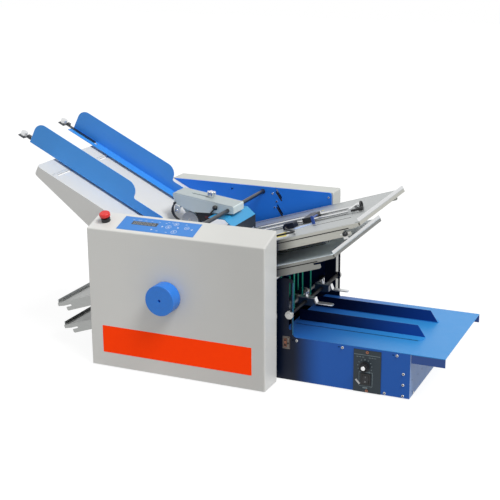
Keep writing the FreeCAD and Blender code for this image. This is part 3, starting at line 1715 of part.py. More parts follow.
def belt_shaft(z):
    """A shaft in both frames with one flanged pulley for each belt."""
    end = bearing_width - bearing_proud + journal_end
    shaft = rod_y(belt_x, z, journal_radius, -frame_inner_front - end, frame_inner_rear + end)
    pulleys = []
    rim = belt_pulley_radius + belt_flange_height
    half = belt_pulley_width / 2
    track = belt_width / 2 + slide_gap
    for y in belt_rows():
        disc = rod_y(belt_x, z, rim, y - half, y + half)
        groove = rod_y(belt_x, z, rim + overrun, y - track, y + track)
        groove = groove.cut(rod_y(belt_x, z, belt_pulley_radius, y - half, y + half))
        pulleys.append(disc.cut(groove))
    return fuse(shaft, *pulleys)


def exit_belts():
    """Three flat belts round the two shafts."""
    belts = []
    inner = belt_pulley_radius + belt_gap
    outer = inner + belt_thickness
    for y in belt_rows():
        low = y - belt_width / 2
        belts.append(belt_loop(outer, low).cut(belt_loop(inner, low)))
    return Part.makeCompound(belts)


def belt_loop(radius, low):
    """A filled loop of a belt's width round both shafts, with a radius."""
    high = low + belt_width
    ends = [rod_y(belt_x, z, radius, low, high) for z in (belt_lower_z, belt_upper_z)]
    run = box(belt_x - radius, belt_x + radius, low, high, belt_lower_z, belt_upper_z)
    return fuse(run, *ends)


def exit_stud_end():
    """How far the studs of the exit bar reach from the mid-plane."""
    return chassis_half_width + slide_gap + thumb_nut_height / 2


def exit_bar():
    """Bar across the exit, with a stud through the slot of each upright."""
    x = exit_slot_x()
    inner = chassis_half_width - chassis_wall - exit_bar_end_gap
    bar = rod_y(x, exit_bar_z, exit_bar_radius, -inner, inner)
    return fuse(bar, rod_y(x, exit_bar_z, exit_stud_radius, -exit_stud_end(), exit_stud_end()))


def thumb_nut():
    """Thumb nut on the front stud: a knurled disc with a hub, bored from behind."""
    x = exit_slot_x()
    back = -chassis_half_width - slide_gap
    front = back - thumb_nut_height
    nut = rod_y(x, exit_bar_z, thumb_nut_radius, front, back)
    grooves = []
    for i in range(thumb_nut_grooves):
        angle = 2 * math.pi * i / thumb_nut_grooves
        groove_x = x + thumb_nut_radius * math.cos(angle)
        groove_z = exit_bar_z + thumb_nut_radius * math.sin(angle)
        grooves.append(rod_y(groove_x, groove_z, thumb_nut_groove_radius, front - overrun, back + overrun))
    hub = rod_y(x, exit_bar_z, thumb_nut_hub_radius, front - thumb_nut_hub_height, front)
    deep = -exit_stud_end() - slide_gap
    bore = rod_y(x, exit_bar_z, exit_stud_radius + running_clearance, deep, back + overrun)
    return fuse(nut, hub).cut([bore] + grooves)


def clamp_block(x, y):
    """Clamp block on the exit bar, with its bore and the hole of the wing knob's stud."""
    wide = clamp_width / 2
    top = exit_bar_z + clamp_height / 2
    block = box(x - clamp_length / 2, x + clamp_length / 2, y - wide, y + wide, top - clamp_height, top)
    block = block.makeFillet(clamp_edge_radius, edges_along(block, ALONG_Y, lambda c: True))
    bore = rod_y(x, exit_bar_z, exit_bar_radius + running_clearance, y - clamp_width, y + clamp_width)
    foot = top + lever_thickness - wing_stud_length
    stud = rod_z(x, y, wing_stud_radius + running_clearance, foot, top + overrun)
    return block.cut([bore, stud])


def exit_arm(side):
    """Clamp block on the exit bar, with a cranked lever on it that reaches over the delivery table."""
    x = exit_slot_x()
    y = side * exit_arm_y
    block = clamp_block(x, y)
    thick = lever_thickness
    top = exit_bar_z + clamp_height / 2
    left = x - lever_back
    bend = x + clamp_length / 2 + lever_flat
    foot = bend + lever_crank
    tip = foot + lever_tip
    low = top - lever_drop
    points = [(left, top), (bend - thick / 2, top), (foot - thick / 2, low), (tip, low), (tip, low + thick),
              (foot + thick / 2, low + thick), (bend + thick / 2, top + thick), (left, top + thick)]
    lever = profile_y(points, y - lever_width / 2, y + lever_width / 2)
    ends = edges_along(lever, ALONG_Z, lambda c: c.x > tip - thick or c.x < left + thick)
    lever = lever.makeFillet(lever_tip_radius, ends)
    lever = lever.cut(rod_z(x, y, wing_stud_radius + running_clearance, top - overrun, top + thick + overrun))
    return Part.makeCompound([block, lever])


def wing_knob(side):
    """Chrome wing knob that clamps an arm."""
    x = exit_slot_x()
    y = side * exit_arm_y
    base = exit_bar_z + clamp_height / 2 + lever_thickness + slide_gap
    hub = rod_z(x, y, wing_hub_radius, base, base + wing_hub_height)
    wing = box(x - wing_width / 2, x + wing_width / 2, y - wing_length / 2, y + wing_length / 2,
               base + wing_hub_height / 2, base + wing_hub_height / 2 + wing_height)
    dip = box(x - wing_width, x + wing_width, y - wing_hub_radius, y + wing_hub_radius,
              base + wing_hub_height, base + wing_hub_height + wing_height)
    stud = rod_z(x, y, wing_stud_radius, base - wing_stud_length, base)
    return fuse(hub, wing.cut(dip), stud)


# The whole machine in its own frame


def left_end():
    """Lowest X: the extension arms' outer ends."""
    return extension_arm(-1).BoundBox.XMin


def front_end():
    """Lowest Y: the handwheel's face."""
    return -frame_outer_front - front_cover_depth - handwheel_gap - handwheel_length


def row_origin():
    """Middle of the machine's box, at the bottom of its feet."""
    rear = frame_outer_rear + rear_cover_depth
    return V((left_end() + table_right) / 2, (front_end() + rear) / 2, -foot_height)


def nodes():
    """Every piece under its own name."""
    pieces = {
        "base_chassis": base_chassis, "base_feet": base_feet, "base_screws": base_screws,
        "control_plate": control_plate, "speed_dial": speed_dial, "power_switch": power_switch,
        "power_inlet": power_inlet, "delivery_table": delivery_table,
        "delivery_guide_front": delivery_guide_front, "delivery_guide_rear": delivery_guide_rear,
        "frame_front": frame_front, "frame_rear": frame_rear, "cross_rods": cross_rods,
        "front_cover": front_cover, "rear_cover": rear_cover, "control_panel": control_panel,
        "stop_button": stop_button, "handwheel": handwheel, "drive_shaft": drive_shaft,
        "thumb_nut_front": thumb_nut, "thumb_nut_rear": lambda: mirror_y(thumb_nut()),
        "feed_roller": feed_roller, "feed_table": feed_table, "feed_head": feed_head,
        "head_knob": head_knob, "separator_wheel": separator_wheel, "retainer_strap": retainer_strap,
        "transfer_cover": transfer_cover, "fine_knob_1": fine_knob_1, "sensor_connector": sensor_connector,
        "sensor_cable": sensor_cable, "exit_bar": exit_bar, "exit_belts": exit_belts,
        "belt_shaft_lower": lambda: belt_shaft(belt_lower_z),
        "belt_shaft_upper": lambda: belt_shaft(belt_upper_z), "drive_motor": drive_motor,
    }
    for number in range(1, 7):
        pieces["fold_roller_%d" % number] = lambda n=number: fold_roller(n)
    for number in range(1, 5):
        pieces["fold_plate_%d" % number] = lambda n=number: fold_plate(n)
        pieces["fold_stop_%d" % number] = lambda n=number: fold_stop(n)
    for name, side in (("front", -1), ("rear", 1)):
        pieces["feed_guide_" + name] = lambda s=side: feed_guide(s)
        pieces["extension_arm_" + name] = lambda s=side: extension_arm(s)
        pieces["arm_knob_" + name] = lambda s=side: arm_knob(s)
        pieces["exit_arm_" + name] = lambda s=side: exit_arm(s)
        pieces["wing_knob_" + name] = lambda s=side: wing_knob(s)
    return pieces


def main():
    os.makedirs("parts", exist_ok=True)
    shift = row_origin() * -1
    for name, make in nodes().items():
        shape = make()
        shape.translate(shift)
        if not shape.isValid():
            print("not valid: " + name)
        shape.exportStep("parts/%s.step" % name)
    print("%d nodes, origin at %s" % (len(nodes()), row_origin()))


if __name__ == "__main__":
    main()
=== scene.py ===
# %% [markdown]
# # A desk paper folding machine, dressed for its portrait
# The machine stands on a desk: a sloping feed table on the left, covers in the middle, four fold plates,
# and a delivery table on the right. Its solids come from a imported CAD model, which stays as it is. This
# lesson adds what the solids leave out: finishes, soft edges, printed marks, small fittings and light.

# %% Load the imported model
import json
import math
import bmesh
import bpy
from mathutils import Matrix, Vector


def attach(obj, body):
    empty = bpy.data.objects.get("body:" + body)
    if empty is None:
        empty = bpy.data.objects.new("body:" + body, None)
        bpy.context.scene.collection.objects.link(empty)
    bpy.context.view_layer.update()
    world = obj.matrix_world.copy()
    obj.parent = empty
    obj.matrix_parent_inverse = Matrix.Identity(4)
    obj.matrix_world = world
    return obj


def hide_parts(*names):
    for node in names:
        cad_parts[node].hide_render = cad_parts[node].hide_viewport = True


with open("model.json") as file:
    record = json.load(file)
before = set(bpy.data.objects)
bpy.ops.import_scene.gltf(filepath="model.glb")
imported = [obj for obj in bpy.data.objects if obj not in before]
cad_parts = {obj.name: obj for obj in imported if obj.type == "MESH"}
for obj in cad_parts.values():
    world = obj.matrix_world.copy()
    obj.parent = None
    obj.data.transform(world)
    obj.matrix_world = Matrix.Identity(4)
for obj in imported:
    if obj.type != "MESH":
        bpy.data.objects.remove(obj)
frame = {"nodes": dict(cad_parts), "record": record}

bpy.context.view_layer.update()
nodes = frame["nodes"]

# %% [markdown]
# ## One ruler for everything
# The machine was drawn in millimetres with its corner under the left end of the covers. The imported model
# is in metres, with its origin under the middle of the whole machine. A single function that turns
# drawing millimetres into model metres keeps every later number readable as a drawing size.

# %% From drawing millimetres to model metres
DRAWING_ORIGIN = Vector((314.67876, -20.5, -4.0))
MM = 0.001


def at(x, y, z):
    """A point of the drawing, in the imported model's metres."""
    return (Vector((x, y, z)) - DRAWING_ORIGIN) * MM


def seat(point, across, up):
    """A local frame on a surface: x across it, y up it, and z out of it."""
    across = Vector(across).normalized()
    out = across.cross(Vector(up)).normalized()
    turn = Matrix((across, out.cross(across), out)).transposed().to_4x4()
    return Matrix.Translation(point) @ turn


print("left end of the covers at", at(0, 0, 0))

# %% [markdown]
# ## The faces that carry details
# Details sit on a few faces of the machine: the front wall, the slanted top with the panel, the wall of
# the base, the feed table, the fold plates and the feed head. Each face gets a function that answers with
# a local frame, so a detail is placed by two distances on its own face, as a fitter would measure it.

# %% Local frames on the machine's faces
FRONT_Y = -274.6
FRONT_EDGE_Z = 374.8
BASE_Y = -176.1
SLANT = math.radians(18.70735)
FEED = math.radians(26.5)
FEED_END = (-198.6, 505.5)
# For each fold plate: the x and z of its nip, and its slope in degrees.
PLATES = {1: (269.5144, 300.5139, 17.7), 2: (289.7876, 239.3925, 17.7),
          3: (237.7887, 256.0680, 19.0), 4: (258.0619, 194.9466, 19.0)}


def on_wall(x, z, y):
    """A place on a wall that faces the operator."""
    return seat(at(x, y, z), (1, 0, 0), (0, 0, 1))


def on_slant(x, s, out=0.0):
    """A place on the slanted top, s up from its front edge."""
    y = FRONT_Y + s * math.cos(SLANT) - out * math.sin(SLANT)
    z = FRONT_EDGE_Z + s * math.sin(SLANT) + out * math.cos(SLANT)
    return seat(at(x, y, z), (1, 0, 0), (0, math.cos(SLANT), math.sin(SLANT)))


def on_feed(u, y, out=0.0):
    """A place on the feed table, u down its slope from the outer end."""
    x = FEED_END[0] + u * math.cos(FEED) + out * math.sin(FEED)
    z = FEED_END[1] - u * math.sin(FEED) + out * math.cos(FEED)
    return seat(at(x, y, z), (math.cos(FEED), 0, -math.sin(FEED)), (0, 1, 0))


def on_plate(number, u, y, out=0.0):
    """A place on a fold plate, u outwards from its nip."""
    x, z, angle = PLATES[number]
    side = 1 if number in (1, 2) else -1
    slope = math.radians(angle)
    along = Vector((side * math.cos(slope), 0, side * math.sin(slope)))
    up = Vector((-math.sin(slope), 0, math.cos(slope)))
    point = Vector((x, y, z)) + along * u + up * out
    return seat(at(*point), along, up.cross(along))


print("a place on fold plate 1:", on_plate(1, 459.2, 0).translation)

# %% [markdown]
# ## Making meshes
# Every added piece is one of three kinds: a flat outline with some thickness, a turned part, or a bar
# that follows a path. They could each be modelled by hand, but three small builders that work in drawing
# millimetres are shorter, and a bevel at the end gives the pieces that ask for it the soft edge that
# catches light.

# %% Outlines, turned parts and the object that holds them
HARD_EDGE = math.radians(35)


def rounded(points, radius, steps=5):
    """An outline whose corners are replaced by short arcs."""
    result = []
    for i, here in enumerate(points):
        here = Vector(here)
        back = (Vector(points[i - 1]) - here).normalized()
        ahead = (Vector(points[(i + 1) % len(points)]) - here).normalized()
        half = back.angle(ahead) / 2
        centre = here + (back + ahead).normalized() * (radius / math.sin(half))
        start = here + back * (radius / math.tan(half)) - centre
        end = here + ahead * (radius / math.tan(half)) - centre
        for k in range(steps + 1):
            result.append(centre + start.lerp(end, k / steps).normalized() * radius)
    return result


def box_outline(x0, x1, y0, y1, radius=1.0):
    """A rectangle with rounded corners."""
    return rounded([(x0, y0), (x1, y0), (x1, y1), (x0, y1)], radius)


def disc_outline(x, y, radius, steps=24):
    """A circle."""
    angles = [2 * math.pi * k / steps for k in range(steps)]
    return [Vector((x + radius * math.cos(angle), y + radius * math.sin(angle))) for angle in angles]


def corners_outline(*places):
    """An outline with straight sides between places."""
    return [Vector(place) for place in places]


def slab(bm, outline, low, high, hole=None):
    """A flat piece between two heights; a hole is an outline with as many points."""
    rings = [[bm.verts.new((p.x * MM, p.y * MM, h * MM)) for p in outline] for h in (low, high)]
    count = len(outline)
    for i in range(count):
        j = (i + 1) % count
        bm.faces.new((rings[0][i], rings[0][j], rings[1][j], rings[1][i]))
    if hole is None:
        bm.faces.new(list(reversed(rings[0])))
        bm.faces.new(rings[1])
        return
    inner = [[bm.verts.new((p.x * MM, p.y * MM, h * MM)) for p in hole] for h in (low, high)]
    for i in range(count):
        j = (i + 1) % count
        bm.faces.new((inner[0][j], inner[0][i], inner[1][i], inner[1][j]))
        bm.faces.new((rings[1][i], rings[1][j], inner[1][j], inner[1][i]))
        bm.faces.new((rings[0][j], rings[0][i], inner[0][i], inner[0][j]))


def turned(bm, profile, steps=32, flutes=0, depth=0.0):
    """A part turned about the local z axis from (radius, height) pairs, fluted where asked."""
    rings = []
    for radius, height in profile:
        ring = []
        for k in range(steps):
            angle = 2 * math.pi * k / steps
            cut = depth * (0.5 + 0.5 * math.cos(flutes * angle)) if flutes else 0.0
            r = max(radius - cut, 0.0) * MM
            ring.append(bm.verts.new((r * math.cos(angle), r * math.sin(angle), height * MM)))
        rings.append(ring)
    for low, high in zip(rings, rings[1:]):
        for k in range(steps):
            m = (k + 1) % steps
            bm.faces.new((low[k], low[m], high[m], high[k]))
    bm.faces.new(list(reversed(rings[0])))
    bm.faces.new(rings[-1])


def piece(name, build, place, finish, body, bevel=0.0, smooth=True):
    """An object built in drawing millimetres in its own frame, set in place, painted, and tied to a body."""
    bm = bmesh.new()
    build(bm)
    bmesh.ops.recalc_face_normals(bm, faces=bm.faces)
    mesh = bpy.data.meshes.new(name)
    bm.to_mesh(mesh)
    bm.free()
    mesh.transform(place)
    made = bpy.data.objects.new(name, mesh)
    bpy.context.scene.collection.objects.link(made)
    if bevel:
        soften(made, bevel, 2)
    for polygon in mesh.polygons:
        polygon.use_smooth = smooth
    if smooth:
        made.modifiers.new("even shading", "WEIGHTED_NORMAL").keep_sharp = True
    mesh.materials.append(finish)
    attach(made, body)
    return made


def printed(name, build, place, finish, body="machine"):
    """A flat mark with sharp edges."""
    return piece(name, build, place, finish, body, smooth=False)


def soften(made, width, segments):
    """A small bevel on every hard edge."""
    bevel = made.modifiers.new("soft edges", "BEVEL")
    bevel.width = width * MM
    bevel.segments = segments
    bevel.limit_method = "ANGLE"
    bevel.angle_limit = HARD_EDGE
    return bevel


print("builders ready")

# %% [markdown]
# ## Writing finishes as arithmetic
# A finish is a network of nodes. Wired by hand, even "noise times two plus one" takes three nodes and
# four links. A small class that stands for one output socket lets the same thing be written as a sum:
# plus, minus and times add a Math node for numbers, Vector Math for vectors and Mix for colours. Every
# other node, in a finish or in the world, comes from one method.

# %% A socket that can be added and multiplied
def kind_of(value):
    """What a value is: a number, a vector or a colour."""
    if isinstance(value, Signal):
        return value.socket.type
    if isinstance(value, (int, float)):
        return "VALUE"
    return "RGBA" if len(value) == 4 else "VECTOR"


def spread(value, size):
    """A plain number as a vector or a colour."""
    return (value,) * size if isinstance(value, (int, float)) else value


class Signal:
    """One output of a node network."""

    def __init__(self, network, socket):
        self.network = network
        self.socket = socket

    def combine(self, operation, first, second):
        """Mix where a colour takes part, Vector Math where a vector does, and Math for numbers."""
        kinds = (kind_of(first), kind_of(second))
        if "RGBA" in kinds:
            return self.network.node("ShaderNodeMix", {"data_type": "RGBA", "blend_type": operation},
                                     {0: 1.0, 6: spread(first, 4), 7: spread(second, 4)}, 2)
        if "VECTOR" in kinds:
            return self.network.node("ShaderNodeVectorMath", {"operation": operation},
                                     {0: spread(first, 3), 1: spread(second, 3)})
        return self.network.node("ShaderNodeMath", {"operation": operation}, {0: first, 1: second})

    def __add__(self, other):
        return self.combine("ADD", self, other)

    def __radd__(self, other):
        return self.combine("ADD", other, self)

    def __sub__(self, other):
        return self.combine("SUBTRACT", self, other)

    def __rsub__(self, other):
        return self.combine("SUBTRACT", other, self)

    def __mul__(self, other):
        return self.combine("MULTIPLY", self, other)

    def __rmul__(self, other):
        return self.combine("MULTIPLY", other, self)

    def __gt__(self, other):
        return self.combine("GREATER_THAN", self, other)

    def __lt__(self, other):
        return self.combine("LESS_THAN", self, other)


class Network:
    """Nodes around one shader: of a finish, or of the world."""

    def __init__(self, tree, shader):
        self.tree = tree
        self.shader = tree.nodes[shader]

    def node(self, kind, settings=None, inputs=None, output=0):
        """Any node: its settings first, then the values or links of its sockets."""
        made = self.tree.nodes.new(kind)
        for name, value in (settings or {}).items():
            setattr(made, name, value)
        for name, value in (inputs or {}).items():
            self.feed(made.inputs[name], value)
        return Signal(self, made.outputs[output])

    def feed(self, socket, value):
        """A link where the value is a signal, and otherwise the socket's own value."""
        if isinstance(value, Signal):
            self.tree.links.new(value.socket, socket)
        else:
            socket.default_value = value

    def set(self, **values):
        """Sockets of the shader, by name with underscores for spaces."""
        for name, value in values.items():
            self.feed(self.shader.inputs[name.replace("_", " ")], value)

    def larger(self, first, second):
        """The larger of two numbers."""
        return self.node("ShaderNodeMath", {"operation": "MAXIMUM"}, {0: first, 1: second})

    def seen(self):
        """1 for rays that reach the camera straight, by a reflection or through glass."""
        camera = self.node("ShaderNodeLightPath", output="Is Camera Ray")
        glossy = self.node("ShaderNodeLightPath", output="Is Glossy Ray")
        glass = self.node("ShaderNodeLightPath", output="Is Transmission Ray")
        return self.larger(camera, self.larger(glossy, glass))


class Finish(Network):
    """A material in the making."""

    def __init__(self, name):
        self.material = bpy.data.materials.new(name)
        self.material.use_nodes = True
        super().__init__(self.material.node_tree, "Principled BSDF")

    def set(self, **values):
        super().set(**values)
        return self.material

    def place(self):
        """Where a point is on the machine, in metres, moving with its own piece."""
        return self.node("ShaderNodeTexCoord", output="Object")

    def noise(self, scale, detail=2.0, where=None):
        """Cloudy noise; a scale of 1000 has features of about a millimetre."""
        return self.node("ShaderNodeTexNoise", None,
                         {"Vector": where or self.place(), "Scale": scale, "Detail": detail})

    def stretched(self, turn, fine):
        """The place, drawn out along one direction for a brushed grain."""
        return self.node("ShaderNodeMapping", None,
                         {"Vector": self.place(), "Rotation": turn, "Scale": (6.0, fine, fine)})

    def mix(self, mask, first, second):
        """A colour between two, by a mask."""
        return self.node("ShaderNodeMix", {"data_type": "RGBA"}, {0: mask, 6: first, 7: second}, 2)

    def along(self, direction):
        """How far a point lies along a direction."""
        return self.node("ShaderNodeVectorMath", {"operation": "DOT_PRODUCT"},
                         {0: self.place(), 1: direction}, "Value")

    def bump(self, height, strength, distance):
        """A normal that follows a height."""
        return self.node("ShaderNodeBump", None,
                         {"Height": height, "Strength": strength, "Distance": distance})


print("a finish is a network round a Principled shader")

# %% [markdown]
# ## Powder coat
# The covers, the frames and the base are sheet steel with a baked powder coat. Close up it has a fine
# orange peel, and over a large panel its shade drifts a little. Fine noise through a Bump node gives the
# peel, and coarse noise mixes two close shades. Handling makes it slightly glossier in patches.

# %% Coated sheet metal
GRAIN_DEPTH = 0.0002


def coated(name, colour, rough=0.42):
    """Baked powder coat in one colour."""
    f = Finish(name)
    # In coated this is only a slow drift of tone.
    drift_and_painted_light = f.noise(6.0, 3.0)
    worn = f.noise(38.0, 4.0)
    return f.set(Base_Color=colour * (drift_and_painted_light * 0.08 + 0.96), Roughness=worn * 0.12 + (rough - 0.06),
                 Normal=f.bump(f.noise(1300.0), 0.10, GRAIN_DEPTH))


table_paint = coated("table_paint", (0.735, 0.735, 0.715, 1.0))
# Painted shade: the rear cover takes a darker grey than the pale front cover.
rear_cover_paint = coated("rear_cover_paint", (0.580, 0.595, 0.560, 1.0))
frame_paint = coated("frame_blue_paint", (0.017, 0.188, 0.790, 1.0), 0.38)
guide_paint = coated("guide_paint", (0.052, 0.310, 0.820, 1.0), 0.36)
sky_paint = coated("sky_blue_paint", (0.030, 0.320, 0.620, 1.0), 0.34)
head_paint = coated("head_grey_paint", (0.560, 0.620, 0.660, 1.0), 0.40)
print("paints ready")

# %% [markdown]
# ## Moulded plastic, rubber and ink
# Knobs and buttons are moulded, so their surface is even, with a faint grain. Rubber is duller, with
# coarser grain. Labels and printed marks lie in a thin film, a little glossier than the paint below.

# %% Plastics, rubbers and printed films
def moulded(name, colour, rough=0.35, grain=0.05, fine=2200.0, gloss=0.5):
    """Plastic, rubber or ink: how rough it is, how strong and fine its grain, and how glossy."""
    f = Finish(name)
    cloud = f.noise(120.0, 3.0)
    return f.set(Base_Color=colour * (cloud * 0.2 + 0.9), Roughness=cloud * 0.1 + (rough - 0.05),
                 Normal=f.bump(f.noise(fine, 2.0), grain, GRAIN_DEPTH), Specular_IOR_Level=gloss)


def with_painted_glow(material, colour, strength):
    """A painted glow: a little emission makes a film brighter than the light on it."""
    shader = material.node_tree.nodes["Principled BSDF"]
    shader.inputs["Emission Color"].default_value = colour
    shader.inputs["Emission Strength"].default_value = strength
    return material


black_plastic = moulded("black_plastic", (0.012, 0.013, 0.016, 1.0), 0.42)
wheel_blue = moulded("handwheel_blue", (0.020, 0.210, 0.760, 1.0), 0.38, grain=0.03)
button_red = moulded("button_red", (0.780, 0.020, 0.018, 1.0), 0.22, grain=0.01)
connector_navy = moulded("connector_navy", (0.008, 0.012, 0.028, 1.0), 0.40, gloss=0.25)
foot_rubber = moulded("foot_rubber", (0.015, 0.015, 0.016, 1.0), 0.75, grain=0.3, fine=900.0, gloss=0.3)
belt_green = moulded("belt_green", (0.015, 0.480, 0.290, 1.0), 0.60, grain=0.2, fine=1500.0, gloss=0.3)
bar_black = moulded("bar_black", (0.005, 0.005, 0.007, 1.0), 0.45, gloss=0.2)
cable_black = moulded("cable_black", (0.006, 0.006, 0.009, 1.0), 0.38, gloss=0.3)
window_dark = moulded("display_window", (0.045, 0.060, 0.075, 1.0), 0.18, grain=0.0)
digit_grey = moulded("display_digit", (0.330, 0.350, 0.360, 1.0), 0.40, grain=0.0)
ink_white = moulded("ink_white", (0.720, 0.790, 0.860, 1.0), 0.45, grain=0.0)
ink_grey = moulded("ink_grey", (0.200, 0.260, 0.280, 1.0), 0.45, grain=0.0)
# The orange film carries a painted glow.
film_orange = with_painted_glow(moulded("film_orange", (1.000, 0.048, 0.000, 1.0), 0.60, grain=0.02, gloss=0.1),
                      (1.0, 0.045, 0.0, 1.0), strength=0.24)
label_yellow = moulded("label_yellow", (0.780, 0.640, 0.050, 1.0), 0.45, grain=0.02)
label_white = moulded("label_white", (0.760, 0.770, 0.760, 1.0), 0.45, grain=0.02)
# Painted shade: hole_black is the black film that stands for shade in sockets, holes, slots and grooves, and
# for shadow and dark reflection along edges and rails.
hole_black = moulded("hole_black", (0.006, 0.006, 0.008, 1.0), 0.80, grain=0.0)
strip_blue = moulded("strip_pale_blue", (0.480, 0.600, 0.860, 1.0), 0.40, grain=0.02)
bracket_blue = moulded("bracket_blue", (0.030, 0.085, 0.360, 1.0), 0.35, grain=0.02)
dark_red = moulded("dark_red", (0.120, 0.020, 0.018, 1.0), 0.45, grain=0.03)
print("plastics ready")

# %% [markdown]
# ## Bare metal
# The fold plates are brushed sheet, so their grain runs one way: noise that is stretched along the plate
# by a Mapping node drives both roughness and bump. Rods are turned steel, and small fittings are chrome,
# which is smooth but never perfectly clean, so a soft noise smudges its roughness.

# %% Brushed sheet, turned steel and chrome
BRUSH_DEPTH = 0.0003


def brushed(name, colour):
    """Metal with its grain along the machine."""
    f = Finish(name)
    lines = f.noise(1.0, 3.0, f.stretched((0.0, 0.0, 0.0), 700.0))
    cloud = f.noise(14.0, 3.0)
    return f.set(Base_Color=colour * (lines * 0.24 + 0.86), Metallic=1.0,
                 Roughness=lines * 0.175 + cloud * 0.10 + 0.22, Normal=f.bump(lines, 0.06, BRUSH_DEPTH))


def polished(name, colour, rough):
    """Smooth metal with faint smudges."""
    f = Finish(name)
    smudge = f.noise(160.0, 4.0)
    return f.set(Base_Color=colour * (smudge * 0.08 + 0.92), Metallic=1.0,
                 Roughness=smudge * 0.14 + (rough - 0.05))


chrome = polished("chrome", (0.780, 0.790, 0.800, 1.0), 0.14)
nickel = polished("nickel", (0.600, 0.600, 0.590, 1.0), 0.26)
dark_steel = polished("dark_steel", (0.100, 0.105, 0.115, 1.0), 0.34)
brushed_flat = brushed("brushed_flat", (0.620, 0.620, 0.610, 1.0))
latch_metal = polished("latch_metal", (0.210, 0.180, 0.160, 1.0), 0.36)
brass = polished("warm_brass", (0.330, 0.150, 0.100, 1.0), 0.34)
print("metals ready")

# %% [markdown]
# ## Parts of one solid with two finishes
# Some solids hold two materials, such as a rubber roller on a steel shaft, or chrome rails on a brushed
# plate. Splitting the solid would change the model. Instead a mask made from the point's own place, such
# as its distance from the shaft's axis, picks between the two finishes inside one material.

# %% Finishes that change with place
RUBBER = (0.030, 0.031, 0.034, 1.0)
STEEL = (0.420, 0.430, 0.440, 1.0)


def two_tone(name, mask_of, colours, rough, metal=(0.0, 0.0)):
    """A finish whose colour, roughness and metal change where a mask is 1."""
    f = Finish(name)
    mask = mask_of(f)
    cloud = f.noise(160.0, 3.0)
    metallic = metal[0] if metal[0] == metal[1] else mask * (metal[1] - metal[0]) + metal[0]
    return f.set(Base_Color=f.mix(mask, *colours) * (cloud * 0.14 + 0.92), Metallic=metallic,
                 Roughness=mask * (rough[1] - rough[0]) + cloud * 0.1 + (rough[0] - 0.05),
                 Normal=f.bump(f.noise(900.0), 0.06, GRAIN_DEPTH))


def near_axis(x, z, radius):
    """A mask that is 1 within a radius of an axis along y, given in drawing millimetres."""
    centre = at(x, 0, z)

    def mask_of(f):
        dx = f.along((1, 0, 0)) - centre.x
        dz = f.along((0, 0, 1)) - centre.z
        return (dx * dx + dz * dz) < (radius * MM) ** 2
    return mask_of


def past_plane(direction, point):
    """A mask that is 1 beyond a plane through a point."""
    return lambda f: f.along(direction) > Vector(direction).dot(point)


def right_of(f, x):
    """1 where a point lies to the right of a drawing x."""
    return past_plane((1, 0, 0), at(x, 0, 0))(f)


def below(f, z):
    """1 where a point lies under a drawing z."""
    return f.along((0, 0, 1)) < at(0, 0, z).z


def shaded(f, start, end, first, last=1.0):
    """A factor that goes smoothly from first, at one drawing x, to last at another."""
    return f.node("ShaderNodeMapRange", {"interpolation_type": "SMOOTHSTEP"},
                  {"Value": f.along((1, 0, 0)), "From Min": at(start, 0, 0).x, "From Max": at(end, 0, 0).x,
                   "To Min": first, "To Max": last})


print("masks ready")

# %% [markdown]
# ## Brushed plates with chrome rails
# The rails of a fold plate belong to the plate's own solid. They stand above the sheet, so the height over
# the sheet is the mask: chrome above it, a tint on top, and a duller tint on the folded sides. The top of
# the second plate is painted much lighter than its sides, a painted lift of the shade of the plate above.
# The sides of the two upper plates have painted shade where they leave the covers.

# %% Sheet, sides and rails
SHEET = (0.430, 0.440, 0.430, 1.0)
RAIL = (0.700, 0.710, 0.720, 1.0)
RAIL_FOOT = 2.0
SHEET_SKIN = 0.1
SHADE_START = 498
SIDE_SHADE_END = 552


def plate_metal(number, sides, sheet, metal):
    """Brushed sheet with chrome rails above it."""
    x, z, angle = PLATES[number]
    lean = math.radians(angle)
    up = Vector((-math.sin(lean), 0, math.cos(lean)))
    top = up.dot(at(x, 0, z))
    f = Finish("plate_%d_metal" % number)
    grain = f.noise(1.0, 3.0, f.stretched((0.0, lean, 0.0), 620.0))
    cloud = f.noise(9.0, 3.0)
    height = f.along(up)
    rails = height > top + RAIL_FOOT * MM
    if number in (1, 2):
        sides = shaded(f, SHADE_START, SIDE_SHADE_END, first=0.35) * sides
    tint = f.mix(height > top - SHEET_SKIN * MM, sides, sheet) * (grain * 0.32 + 0.84)
    return f.set(Base_Color=f.mix(rails, tint, RAIL), Metallic=rails * (0.95 - metal) + metal,
                 Roughness=rails * -0.24 + grain * 0.14 + cloud * 0.10 + 0.34,
                 Normal=f.bump(grain, 0.08, BRUSH_DEPTH))


by_node = {
    "fold_plate_1": plate_metal(1, (0.470, 0.470, 0.430, 1.0), (0.480, 0.500, 0.500, 1.0), 0.80),
    # Painted light: the second plate's top is much lighter, to lift the shade of the plate above.
    "fold_plate_2": plate_metal(2, (0.330, 0.335, 0.315, 1.0), (0.850, 0.950, 1.000, 1.0), 0.10),
    "fold_plate_3": plate_metal(3, SHEET, SHEET, 0.80),
    "fold_plate_4": plate_metal(4, SHEET, SHEET, 0.80),
}
print("plate finishes", len(by_node))

# %% [markdown]
# ## Paint that deepens with place
# In the portrait the blue of the base sinks into shade beside the covers, and so does the table under the
# exit. One lamp and an even room don't make that shade deep enough, so the paint itself is deeper there.
# Each of these finishes is the same powder coat over a colour that a mask or a slope along x chooses.

# %% Powder coat over a changing colour
BASE_END = 844.2
COVER_END = 499.6
TRANSFER_BEND = 357.2
FLANGE_TOP = 121.1
TABLE_SKIN = 117.2
FRAME_SHADE = 262
HEAD_LID = ((0.1288, 0, 0.9917), (125, 0, 425.7))


def painted(f, colour, specular=0.5):
    """Powder coat over a colour that changes with place."""
    return f.set(Base_Color=colour * (f.noise(6.0, 3.0) * 0.08 + 0.96), Roughness=f.noise(38.0) * 0.12 + 0.34,
                 Normal=f.bump(f.noise(1300.0), 0.10, GRAIN_DEPTH), Specular_IOR_Level=specular)


